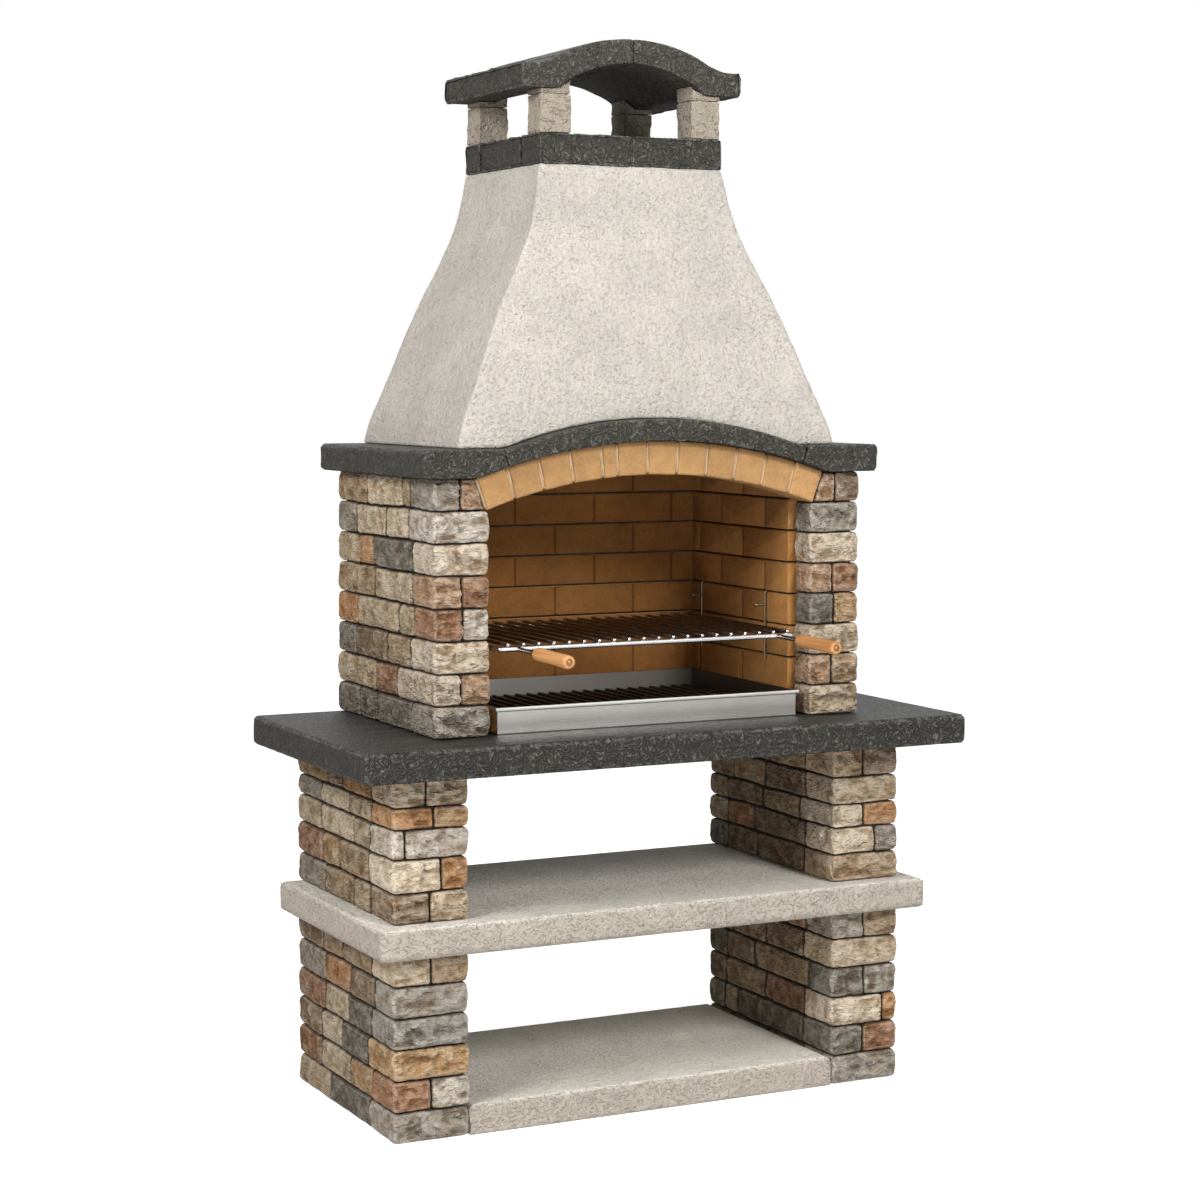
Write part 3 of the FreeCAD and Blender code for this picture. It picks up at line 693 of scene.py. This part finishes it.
def pale_concrete_finish(name, base, shadow, lines, share, depth):
    """Pale cast concrete, with the lines of its skin drawn in its shadow colour."""
    material, tree, shader = new_finish(name, roughness=0.92, specular_ior_level=0.2)
    skin = skinned(tree, **lines)
    facing = facing_in(tree)
    # Upward faces are painted lighter towards cream: painted light on the tops.
    top_lightening = between(tree, facing["Z"], 0.6, 0.9, 0.0, 0.68)
    ground = blend(tree, "SCREEN", top_lightening, base, (0.97, 0.89, 0.75, 1))
    grain = grained(tree, ground, 20.0, 0.22, 0.3)
    # Low lumps are darkened, a painted shade in the pits, and the skin's lines are a painted shadow in their
    # grooves.
    feed(tree, shader, coats(
        tree, grain["Color"],
        ("MIX", times(tree, skin["Stroke"], share), shadow),
        ("MULTIPLY", between(tree, skin["Lumps"], 0.44, 0.28, 0.0, 0.55), (0.68, 0.62, 0.54, 1))))
    height = minus(tree, times(tree, skin["Lumps"], 1.4), times(tree, skin["Stroke"], 0.5))
    roughen(tree, shader, height, 0.9, depth)
    return material


slab_lines = {"scale": 54.0, "turns": 5.0, "width": 0.15, "flatten": 1.3, "chop": 3.2, "bare": 0.40}
pale_concrete = pale_concrete_finish("pale_concrete", paint(183, 174, 161), paint(130, 117, 101), slab_lines,
                                     share=0.16, depth=0.0075)
for slab in ("base_slab", "shelf_slab"):
    build_cast(slab + "_cast", slab, pale_concrete, "pale_concrete", bevel=0.004, depth=0.0015, bite=0.003)


# Worktop. A thick slab of dark through-coloured concrete on the upper piers, trowelled smoother on top, with
# a crackled face all round and pale chips along its edges.
def dark_concrete_finish():
    material, tree, shader = new_finish("dark_concrete", specular_ior_level=0.4)
    where = place_in(tree)
    skin = skinned(tree, scale=36.0, turns=7.0, width=0.12, chop=2.6, bare=0.38)
    stroke, waves, lumps = (skin[key] for key in ("Stroke", "Waves", "Lumps"))
    facing = facing_in(tree)
    top = between(tree, facing["Z"], 0.55, 0.9)
    front = between(tree, facing["Y"], -0.4, -0.8)
    flank = between(tree, reckon(tree, "ABSOLUTE", facing["X"], 0.0), 0.5, 0.9)
    edge = stored(tree, "joint")
    # Tops are painted darker and the end faces darker, as painted shade, and the stored tint paints each
    # piece lighter or darker: painted light and shade.
    ground = coats(
        tree, paint(53, 51, 44),
        ("MIX", top, paint(39, 38, 35)),
        ("MULTIPLY", flank, (0.78, 0.76, 0.74, 1)),
        ("MULTIPLY", 1.0, stored(tree, "tint", "Color")))
    grain = grained(tree, ground, 46.0, 0.8, 0.6)
    streak = clouds(tree, stretch(tree, where, (3.0, 60.0, 60.0)), 1.0, 4.0)
    top_lightening = times(tree, between(tree, streak, 0.48, 0.66), top)
    # More pale strokes on the fronts: partly the skin, partly painted light on the fronts.
    share = minus(tree, plus(tree, 0.17, times(tree, front, 0.28)), times(tree, top, 0.12))
    chips = times(tree, between(tree, lumps, 0.46, 0.58), edge)
    # Low lumps and the waves between the strokes are darkened: painted shade in the hollows of the skin.
    worn = coats(
        tree, grain["Color"],
        ("MULTIPLY", between(tree, lumps, 0.52, 0.34), (0.5, 0.5, 0.5, 1)),
        ("MULTIPLY", between(tree, waves, 0.5, 1.0, 0.0, 0.6), (0.4, 0.39, 0.37, 1)),
        ("MIX", times(tree, top_lightening, 0.24), paint(104, 102, 97)),
        ("MIX", times(tree, stroke, share), paint(147, 144, 133)),
        ("MIX", times(tree, chips, 0.3), paint(146, 144, 139)))
    rough = minus(tree, between(tree, lumps, 0.3, 0.7, 0.6, 0.85), times(tree, top, 0.2))
    feed(tree, shader, worn, rough)
    depth = minus(tree, 1.0, times(tree, top, 0.75))
    height = minus(tree, times(tree, lumps, 1.2), times(tree, waves, 0.6))
    roughen(tree, shader, times(tree, height, depth), 1.0, 0.008)
    return material


dark_concrete = dark_concrete_finish()
# shade 0.78: the worktop painted darker, as painted shade.
build_cast("worktop_cast", "worktop_slab", dark_concrete, "dark_concrete", bevel=0.003, depth=0.0025,
           bite=0.003, shade=0.78)


# Firebox walls. The same split stone, with jamb stones that turn the corner at the front; the top course is
# cut to a slope where the arch springs.
for wall in ("left_firebox_stones", "right_firebox_stones"):
    build_stones(wall, split_stone)


# Backing panels and firebrick lining. Thin refractory bricks are bedded on plain panels in half bond, with
# raked bed joints and nearly flush upright joints.
upright_recess = 0.0004
bed_recess = 0.003
bed_filled = 0.0015
# Painted shade on the rear lining and its joints: darker and warmer than the side linings.
rear_painted_shade = (0.68, 0.63, 0.53)
joint_shade = (0.55, 0.50, 0.44)
bed_tint = (0.9, 1.15, 1.7, 1)
brick_bevel = 0.0012
brick_swing, warmth_swing = 0.07, 0.05
strip_lap, strip_inset, strip_bevel = 0.001, 0.002, 0.0006
top_course = 0.01


def firebrick_finish(name, base, sooty):
    material, tree, shader = new_finish(name, roughness=0.88, specular_ior_level=0.25)
    ground = blend(tree, "MULTIPLY", 1.0, base, stored(tree, "tint", "Color"))
    grain = grained(tree, ground, 34.0, 0.55, 0.5)
    smoke = clouds(tree, place_in(tree), 5.0, 5.0)
    skin = skinned(tree, scale=40.0, turns=6.0, width=0.2, chop=3.5)
    feed(tree, shader, coats(
        tree, grain["Color"],
        ("MULTIPLY", between(tree, smoke, 0.4, 0.7, 0.0, sooty), (0.55, 0.47, 0.40, 1)),
        ("MULTIPLY", times(tree, skin["Stroke"], 0.35), (0.7, 0.62, 0.52, 1))))
    height = minus(tree, skin["Lumps"], times(tree, skin["Stroke"], 0.3))
    height = plus(tree, height, times(tree, grain["Grit"], 0.4))
    roughen(tree, shader, height, 0.8, 0.003)
    return material


def mortar_finish(name, base):
    material, tree, shader = new_finish(name, roughness=0.95, specular_ior_level=0.2)
    grain = grained(tree, base, 60.0, 0.5, 0.5)
    feed(tree, shader, grain["Color"])
    roughen(tree, shader, grain["Grit"], 0.6, 0.002)
    return material


lining_brick = firebrick_finish("lining_firebrick", paint(177, 126, 71), 0.5)
backing = mortar_finish("backing_concrete", paint(122, 106, 88))


def build_lining(node):
    pile = Pile()
    low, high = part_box(node)
    inner = min(range(2), key=lambda axis: high[axis] - low[axis])
    # The rear lining gets the painted shade; the side linings get none.
    painted_wall_shade = rear_painted_shade if node.startswith("rear") else (1, 1, 1)
    joint_tint = tuple(part * shade for part, shade in zip(painted_wall_shade, joint_shade)) + (1.0,)
    courses = {}
    for number, faces in enumerate(solids_of(node)):
        places = [place for ring in faces for place in ring]
        bottom, top = min(p[2] for p in places), max(p[2] for p in places)
        courses[round(bottom, 4)] = (bottom, top)
        shade = 1 + brick_swing * noise.noise(Vector((number * 2.3, low.x * 4, 0.5)))
        warmth = 1 + warmth_swing * noise.noise(Vector((number * 3.1, 7.5, low.y)))
        bm = shell(faces)
        bmesh.ops.bevel(bm, geom=bm.edges[:], offset=brick_bevel, segments=2, profile=0.5, affect="EDGES")
        tint = tuple(shade * part for part in (painted_wall_shade[0] * warmth, painted_wall_shade[1], painted_wall_shade[2] / warmth)) + (1.0,)
        pile.add(bm, tint)
    strips = []
    for bottom, top in courses.values():
        strips.append((bottom + strip_lap, top - strip_lap, upright_recess, joint_tint))
        if top < high.z - top_course:
            strips.append((top - strip_lap, top + bed_filled, bed_recess, bed_tint))
    for bottom, top, recess, tint in strips:
        start, end = low.copy(), high.copy()
        start[1 - inner] += strip_inset
        end[1 - inner] -= strip_inset
        start.z, end.z = bottom, top
        if node.startswith("left"):
            end[inner] -= recess
        else:
            start[inner] += recess
        bm = plain_block(start, end)
        bmesh.ops.bevel(bm, geom=bm.edges[:], offset=strip_bevel, segments=1, affect="EDGES")
        pile.add(bm, tint)
    pile.make(node + "_lining", lining_brick, "firebrick", node, crease=25)


def finish_node(node, material):
    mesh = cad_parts[node].data
    mesh.materials.clear()
    mesh.materials.append(material)
    return mesh


for lining in ("left_firebricks", "right_firebricks", "rear_firebricks"):
    build_lining(lining)
for panel in ("left_backing_panel", "right_backing_panel", "rear_backing_panel"):
    finish_node(panel, backing)


# Arch. Wedge-shaped firebricks are set in pale mortar, from one stone skewback to the other. The mortar is
# struck back behind the faces of the bricks.
arch_joint = 0.0036
arch_grid = 0.012
arch_turn = math.radians(20)
arch_bevel = 0.0015
arch_unevenness = 0.0012
arch_swing = 0.16
mortar_front, mortar_rear, mortar_inset = 0.0045, 0.001, 0.004


def build_arch():
    bricks, mortar = Pile(), Pile()
    for number, faces in enumerate(solids_of("arch_bricks")):
        bm = shell(faces)
        middle = sum((v.co for v in bm.verts), Vector()) / len(bm.verts)
        lean = max((f.normal for f in bm.faces if abs(f.normal.y) < 0.1), key=lambda n: abs(n.x))
        along = Vector((abs(lean.x), 0, lean.z * math.copysign(1, lean.x)))
        half = max(abs((v.co - middle).dot(along)) for v in bm.verts)
        core = shell(faces)
        for vertex in core.verts:
            vertex.co.y += mortar_front if vertex.co.y < middle.y else -mortar_rear
            vertex.co.z -= math.copysign(mortar_inset, vertex.co.z - middle.z)
        mortar.add(core, (1, 1, 1, 1))
        for vertex in bm.verts:
            offset = (vertex.co - middle).dot(along)
            vertex.co -= along * offset * arch_joint / half
        edges = [e for e in bm.edges if e.calc_face_angle(0) > arch_turn]
        bmesh.ops.bevel(bm, geom=edges, offset=arch_bevel, segments=2, profile=0.5, affect="EDGES")
        rule(bm, 0, arch_grid)
        rule(bm, 2, arch_grid)
        bm.normal_update()
        apart = Vector((number, 0, 0))
        shifts = [v.normal * arch_unevenness * noise.noise(v.co * 45 + apart) for v in bm.verts]
        for vertex, shift in zip(bm.verts, shifts):
            vertex.co += shift
        shade = 1 + arch_swing * noise.noise(Vector((number * 1.9, 0.3, 4.4)))
        bricks.add(bm, (shade, shade, shade, 1))
    bricks.make("arch_brickwork", firebrick_finish("arch_firebrick", paint(174, 134, 88), 0.2),
                "arch_firebrick", "arch_bricks", crease=25)
    mortar.make("arch_mortar", mortar_finish("arch_mortar", paint(204, 178, 144)), "arch_firebrick",
                "arch_bricks")


build_arch()


# Mantel. Four blocks of the dark concrete lie on the walls and the arch; the front one bows over the arch
# and runs out flat in a hollow curve at each end.
# shade 1.25: the mantel blocks painted lighter, as painted light.
for block in ("mantel_left_block", "mantel_right_block", "mantel_arch_block", "mantel_rear_block"):
    build_cast(block + "_cast", block, dark_concrete, "dark_concrete", bevel=0.005, depth=0.0025,
               bite=0.0035, shade=1.25)


# Hood. A hollow bell of cast concrete, bedded on the mantel and finished by hand in pale roughcast, which
# keeps short trowel marks and rounds off its edges.
hood_grid = 0.013
hood_lines = {"scale": 72.0, "turns": 4.0, "width": 0.12, "flatten": 1.8, "chop": 4.0, "bare": 0.49}
hood_render = pale_concrete_finish("hood_render", paint(199, 192, 183), paint(146, 132, 115), hood_lines,
                                   share=0.15, depth=0.009)
build_cast("hood_shell", "hood", hood_render, "hood_render", bevel=0.006, depth=0.0016, bite=0.0015,
           step=hood_grid)


# Chimney. A collar of dark blocks on the hood carries four pale posts; a wedge on each post meets the two
# halves of the arched cap.
# shade 1.32: the collar painted lighter, as painted light.
build_cast("collar_ring", "collar_blocks", dark_concrete, "dark_concrete", bevel=0.003, depth=0.003,
           bite=0.004, shade=1.32)
post_grid = 0.008
post_lines = {"scale": 28.0, "turns": 4.0, "width": 0.15, "flatten": 1.7, "chop": 2.6, "bare": 0.44}
post_concrete = pale_concrete_finish("post_concrete", paint(168, 158, 142), paint(104, 92, 77), post_lines,
                                     share=0.16, depth=0.012)
for row in ("front", "rear"):
    for side in ("left", "right"):
        for piece, bevel in (("chimney_post_", 0.0), ("post_wedge_", 0.004)):
            node = piece + row + "_" + side
            build_cast(node + "_cast", node, post_concrete, "pale_concrete", bevel=bevel, depth=0.0055,
                       bite=0.004, step=post_grid)
# shade 1.7: the cap halves painted lighter, as painted light.
for half in ("cap_left_half", "cap_right_half"):
    build_cast(half + "_cast", half, dark_concrete, "dark_concrete", bevel=0.005, depth=0.0025, bite=0.0035,
               shade=1.7, seam=0.0)


# Ember tray. A pan folded from brushed stainless sheet, with a turned-down rim, that stands on the worktop
# and slides out to the front.
def brushed_steel_finish(name, base, along, roughness, overlay=None):
    """Brushed steel; an overlay may add soot and painted light and shade to its colour, and change its
    roughness.
    """
    material, tree, shader = new_finish(name, metallic=1.0)
    where = place_in(tree)
    brush = clouds(tree, stretch(tree, where, along), 1.0, 4.0)
    cloud = clouds(tree, where, 9.0, 3.0)
    colour = coats(
        tree, base,
        ("MULTIPLY", between(tree, cloud, 0.35, 0.75, 0.0, 0.5), (0.82, 0.80, 0.78, 1)),
        ("MULTIPLY", between(tree, brush, 0.3, 0.7, 0.0, 0.07), (0.8, 0.8, 0.8, 1)))
    rough = between(tree, brush, 0.25, 0.75, roughness - 0.02, roughness + 0.03)
    if overlay:
        colour, rough = overlay(tree, colour, rough)
    feed(tree, shader, colour, rough)
    roughen(tree, shader, brush, 0.04, 0.0003)
    return material


# Heights of the lip, of the painted shadow under it and of the painted contact shadow along the foot.
lip_height, lip_edge = 0.007, 0.003
lip_shadow_height = 0.004
foot_shadow_height = 0.004
crisp = 0.0002
shade_gradient_reach = 0.36
pan_level = 0.93


def tray_soot_and_painted_light(tree, colour, rough):
    """Soot on the floor and soot with painted shade on the inner walls; a painted shadow under the lip
    and along the foot; a painted highlight on the lip.
    """
    low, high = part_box("ember_tray")
    coordinates = put(tree, "ShaderNodeTexCoord").outputs
    where, facing = coordinates["Object"], coordinates["Normal"]
    out = arrow(tree, "SUBTRACT", where, (low + high) / 2)
    plan = arrow(tree, "MULTIPLY", out, (1, 1, 0))
    lean = arrow(tree, "DOT_PRODUCT", plan, facing)
    inside = between(tree, lean, -0.02, -0.08)
    outside = between(tree, lean, 0.02, 0.08)
    place = axes_of(tree, where)
    turned_to = axes_of(tree, facing)
    # On the inner walls, soot and painted shade: darker towards the right, and darkest on the side walls, a
    # painted reflection of the dark firebox.
    flank = between(tree, reckon(tree, "ABSOLUTE", turned_to["X"], 0.0), 0.5, 0.9)
    rear = between(tree, place["X"], -shade_gradient_reach, shade_gradient_reach, 0.62, 0.78)
    sooty = times(tree, inside, reckon(tree, "MAXIMUM", times(tree, flank, 0.95), rear))
    floor = times(tree, between(tree, turned_to["Z"], 0.5, 0.9),
                  between(tree, place["Z"], pan_level + 0.01, pan_level))
    sooty = reckon(tree, "MAXIMUM", sooty, floor)
    # A painted shadow line under the lip, and a painted contact shadow along the foot.
    under = high.z - lip_height
    painted_lip_shadow = between(tree, place["Z"], under - lip_shadow_height, under - lip_shadow_height / 2)
    painted_lip_shadow = times(tree, painted_lip_shadow, between(tree, place["Z"], under, under - crisp))
    foot = times(tree, outside, between(tree, place["Z"], low.z + foot_shadow_height, low.z + foot_shadow_height / 2))
    # A painted highlight on the band of the lip.
    painted_lip_highlight = times(tree, between(tree, place["Z"], under + lip_edge, under + lip_edge + crisp), outside)
    colour = coats(
        tree, colour,
        ("MULTIPLY", sooty, (0.14, 0.12, 0.10, 1)),
        ("MULTIPLY", times(tree, painted_lip_shadow, outside), (0.25, 0.24, 0.22, 1)),
        ("MULTIPLY", foot, (0.25, 0.24, 0.22, 1)),
        ("MIX", painted_lip_highlight, paint(228, 227, 225)))
    dulled = reckon(tree, "MAXIMUM", painted_lip_highlight, inside)
    rough = put(tree, "ShaderNodeMix", {0: dulled, 2: rough, 3: 0.5}, data_type="FLOAT").outputs[0]
    return colour, rough


tray_steel = brushed_steel_finish("stainless_steel", paint(219, 216, 211), (3.0, 3.0, 2600.0), 0.26,
                                  tray_soot_and_painted_light)
finish_node("ember_tray", tray_steel)
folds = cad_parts["ember_tray"].modifiers.new("folds", "BEVEL")
folds.width = 0.0009
folds.segments = 2
folds.limit_method = "ANGLE"
folds.angle_limit = math.radians(40)


# Coal grate. A loose grid of plain steel bars on cross rails, laid in the tray. The fire has blackened and
# browned it.
def burnt_steel_finish():
    material, tree, shader = new_finish("grate_steel", metallic=0.35)
    rust = clouds(tree, place_in(tree), 26.0, 6.0)
    colour = blend(tree, "MIX", between(tree, rust, 0.42, 0.68), paint(38, 33, 30), paint(92, 66, 50))
    feed(tree, shader, colour, between(tree, rust, 0.3, 0.7, 0.5, 0.85))
    roughen(tree, shader, rust, 0.5, 0.001)
    return material


burnt_steel = burnt_steel_finish()
finish_node("coal_grate_bars", burnt_steel)
finish_node("coal_grate_rails", burnt_steel)


# Grill. A frame of bent steel rod with wires welded across it, and two tangs for the grips. The steel is
# bright at its ends; over the firebox it is painted a mottled brown, a painted reflection of the firebox.
rod_crease = math.radians(40)
reflection_front, reflection_rear = (-0.252, -0.215), (0.252, 0.236)


def grill_steel_finish():
    material, tree, shader = new_finish("bright_steel", metallic=1.0)
    where = place_in(tree)
    patchiness = clouds(tree, where, 18.0, 5.0)
    # Between its ends the steel is painted a mottled brown: a painted reflection of the firebox.
    reach = plus(tree, axes_of(tree, where)["Y"], times(tree, patchiness, 0.04))
    painted_reflection = times(tree, between(tree, reach, *reflection_front), between(tree, reach, *reflection_rear))
    reflection_mottle = times(tree, between(tree, patchiness, 0.35, 0.7, 0.0, 0.7), painted_reflection)
    colour = coats(
        tree, paint(214, 214, 213),
        ("MIX", painted_reflection, paint(120, 98, 80)),
        ("MULTIPLY", reflection_mottle, (0.6, 0.55, 0.5, 1)))
    feed(tree, shader, colour, between(tree, painted_reflection, 0.0, 1.0, 0.24, 0.42))
    return material


def finish_rod(node, material):
    mesh = finish_node(node, material)
    mesh.shade_smooth()
    mesh.set_sharp_from_angle(angle=rod_crease)


grill_steel = grill_steel_finish()
for part in ("grill_frame", "grill_wires", "left_handle_tang", "right_handle_tang"):
    finish_rod(part, grill_steel)


# Handle grips and rivets. The grips are turned beech, a little waisted, and pushed on the tangs. A turned
# rivet in the end of each holds it.
grip_outline = [(0.0058, 0.0), (0.0098, 0.0), (0.0112, 0.0008), (0.0136, 0.005), (0.0149, 0.010),
                (0.0154, 0.016), (0.0150, 0.045), (0.0147, 0.085), (0.0150, 0.125), (0.0155, 0.152),
                (0.0154, 0.162), (0.0146, 0.1665), (0.0128, 0.1692), (0.0105, 0.170), (0.0078, 0.170),
                (0.0074, 0.1672), (0.0058, 0.1671)]
rivet_outline = [(0.0, 0.1671), (0.0066, 0.1671), (0.0069, 0.1675), (0.0069, 0.1686), (0.0064, 0.1691),
                 (0.0054, 0.1691), (0.0050, 0.1684), (0.0040, 0.1683), (0.0037, 0.1690), (0.0026, 0.1696),
                 (0.0013, 0.1698), (0.0, 0.1698)]
lathe_steps = 40
lathe_crease = math.radians(45)
tang_foot = 0.012


def wood_finish():
    material, tree, shader = new_finish("turned_wood", specular_ior_level=0.45)
    where = place_in(tree)
    fibre = clouds(tree, stretch(tree, where, (260.0, 9.0, 260.0)), 1.0, 5.0)
    ring = clouds(tree, stretch(tree, where, (70.0, 3.0, 70.0)), 1.0, 2.0)
    colour = coats(
        tree, paint(208, 154, 98),
        ("MIX", between(tree, ring, 0.3, 0.7), paint(174, 116, 66)),
        ("MULTIPLY", between(tree, fibre, 0.5, 0.72, 0.0, 0.55), (0.62, 0.5, 0.4, 1)))
    feed(tree, shader, colour, between(tree, fibre, 0.3, 0.7, 0.38, 0.55))
    roughen(tree, shader, fibre, 0.2, 0.0004)
    return material


turned_wood = wood_finish()
rivet_steel = brushed_steel_finish("rivet_steel", paint(178, 140, 98), (40.0, 40.0, 40.0), 0.36)


def turned(name, outline, start, axis, material, node):
    """A turned piece: its outline of radius and reach, swept round the axis."""
    bm = bmesh.new()
    facing = axis.to_track_quat("Z", "X").to_matrix()
    angles = [2 * math.pi * step / lathe_steps for step in range(lathe_steps)]
    rings = []
    for radius, reach in outline:
        centre = start + axis * reach
        if radius == 0:
            rings.append([bm.verts.new(centre)] * lathe_steps)
            continue
        spokes = [facing @ Vector((radius * math.cos(a), radius * math.sin(a), 0)) for a in angles]
        rings.append([bm.verts.new(centre + spoke) for spoke in spokes])
    closing = rings[:1] if outline[0][0] else []
    for one, two in zip(rings, rings[1:] + closing):
        for step in range(lathe_steps):
            after = (step + 1) % lathe_steps
            corners = dict.fromkeys((one[step], one[after], two[after], two[step]))
            bm.faces.new(list(corners))
    bmesh.ops.recalc_face_normals(bm, faces=bm.faces[:])
    mesh = bpy.data.meshes.new(name)
    bm.to_mesh(mesh)
    bm.free()
    mesh.shade_smooth()
    mesh.set_sharp_from_angle(angle=lathe_crease)
    mesh.materials.append(material)
    piece = show(name, mesh)
    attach(piece, "grill")
    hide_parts(node)


def build_grip(side):
    """A grip and its rivet, turned about the line from the tang's foot to the rivet."""
    tang, grip, rivet = ([v.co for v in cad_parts[side + "_handle_" + part].data.vertices]
                         for part in ("tang", "grip", "rivet"))
    tip = sum(rivet, Vector()) / len(rivet)
    root = max(tang, key=lambda co: co.y)
    foot = [co for co in tang if (co - root).length < tang_foot]
    start = sum(foot, Vector()) / len(foot)
    axis = (tip - start).normalized()
    neck = start + axis * min((co - start).dot(axis) for co in grip)
    turned(side + "_handle_grip_turned", grip_outline, neck, axis, turned_wood,
           side + "_handle_grip")
    turned(side + "_handle_rivet_turned", rivet_outline, neck, axis, rivet_steel,
           side + "_handle_rivet")


for side in ("left", "right"):
    build_grip(side)


# Hangers. Bent steel wires let into the bed joints of the side linings, with pegs that hold the grill at
# one of two heights.
hanger_steel = brushed_steel_finish("hanger_steel", paint(138, 126, 112), (40.0, 40.0, 40.0), 0.42)
for row in ("front", "rear"):
    for side in ("left", "right"):
        finish_rod("grill_hanger_" + row + "_" + side, hanger_steel)


# Studio. A pale floor that runs into a white background, soft light from all round, a large soft lamp from
# the front right, a weaker one from the left and a low one from where the camera stands.
floor_reach = 40
sky_strength = 0.22


def floor_finish():
    material, tree, shader = new_finish("studio_floor", roughness=0.9, specular_ior_level=0.1)
    shader.inputs["Base Color"].default_value = (0.86, 0.86, 0.86, 1)
    seen = put(tree, "ShaderNodeLightPath").outputs["Is Camera Ray"]
    glow = put(tree, "ShaderNodeEmission", {"Color": (1, 1, 1, 1), "Strength": times(tree, seen, 0.85)})
    both = put(tree, "ShaderNodeAddShader", {0: shader.outputs[0], 1: glow.outputs[0]})
    tree.links.new(both.outputs[0], tree.nodes["Material Output"].inputs["Surface"])
    return material


floor_mesh = bpy.data.meshes.new("studio_floor")
floor_corners = [(x * floor_reach, y * floor_reach, 0) for x, y in ((-1, -1), (1, -1), (1, 1), (-1, 1))]
floor_mesh.from_pydata(floor_corners, [], [(0, 1, 2, 3)])
floor_mesh.materials.append(floor_finish())
floor = show("studio_floor", floor_mesh)
world = bpy.data.worlds.new("studio")
bpy.context.scene.world = world
world.use_nodes = True
sky = world.node_tree
path = put(sky, "ShaderNodeLightPath").outputs
shown = reckon(sky, "MAXIMUM", path["Is Camera Ray"], path["Is Glossy Ray"])
shown = reckon(sky, "MAXIMUM", shown, path["Is Transmission Ray"])
sky.nodes["Background"].inputs["Color"].default_value = (1, 1, 1, 1)
sky.links.new(between(sky, shown, 0.0, 1.0, sky_strength, 1.0), sky.nodes["Background"].inputs["Strength"])


def soft_lamp(name, place, aim, size, power):
    lamp = bpy.data.lights.new(name, "AREA")
    lamp.shape = "DISK"
    lamp.size = size
    lamp.energy = power
    holder = show(name, lamp)
    holder.location = place
    holder.rotation_euler = (Vector(aim) - Vector(place)).to_track_quat("-Z", "Y").to_euler()


soft_lamp("key_lamp", (1.0, -5.6, 4.2), (0, 0, 0.9), 1.8, 295)
soft_lamp("side_lamp", (-4.8, -2.0, 4.2), (0, 0, 1.3), 2.4, 275)
soft_lamp("fill_lamp", (-2.6, -6.0, 0.5), (0, 0, 1.1), 2.2, 72)


# Camera. It stands to the left of the front at head height, on a long lens, and is tilted down a little with
# the frame shifted to fit.
camera = bpy.data.cameras.new("camera")
camera.lens = 79.02
camera.sensor_width = 36
camera.shift_y = -0.08
yaw, pitch = 0.459959, 0.0488606
aim = Vector((math.sin(yaw) * math.cos(pitch), math.cos(yaw) * math.cos(pitch), -math.sin(pitch)))
holder = show("camera", camera)
holder.location = (-2.8179, -5.6974, 1.7149)
holder.rotation_euler = aim.to_track_quat("-Z", "Y").to_euler()
bpy.context.scene.camera = holder
bpy.context.scene.view_settings.view_transform = "Standard"
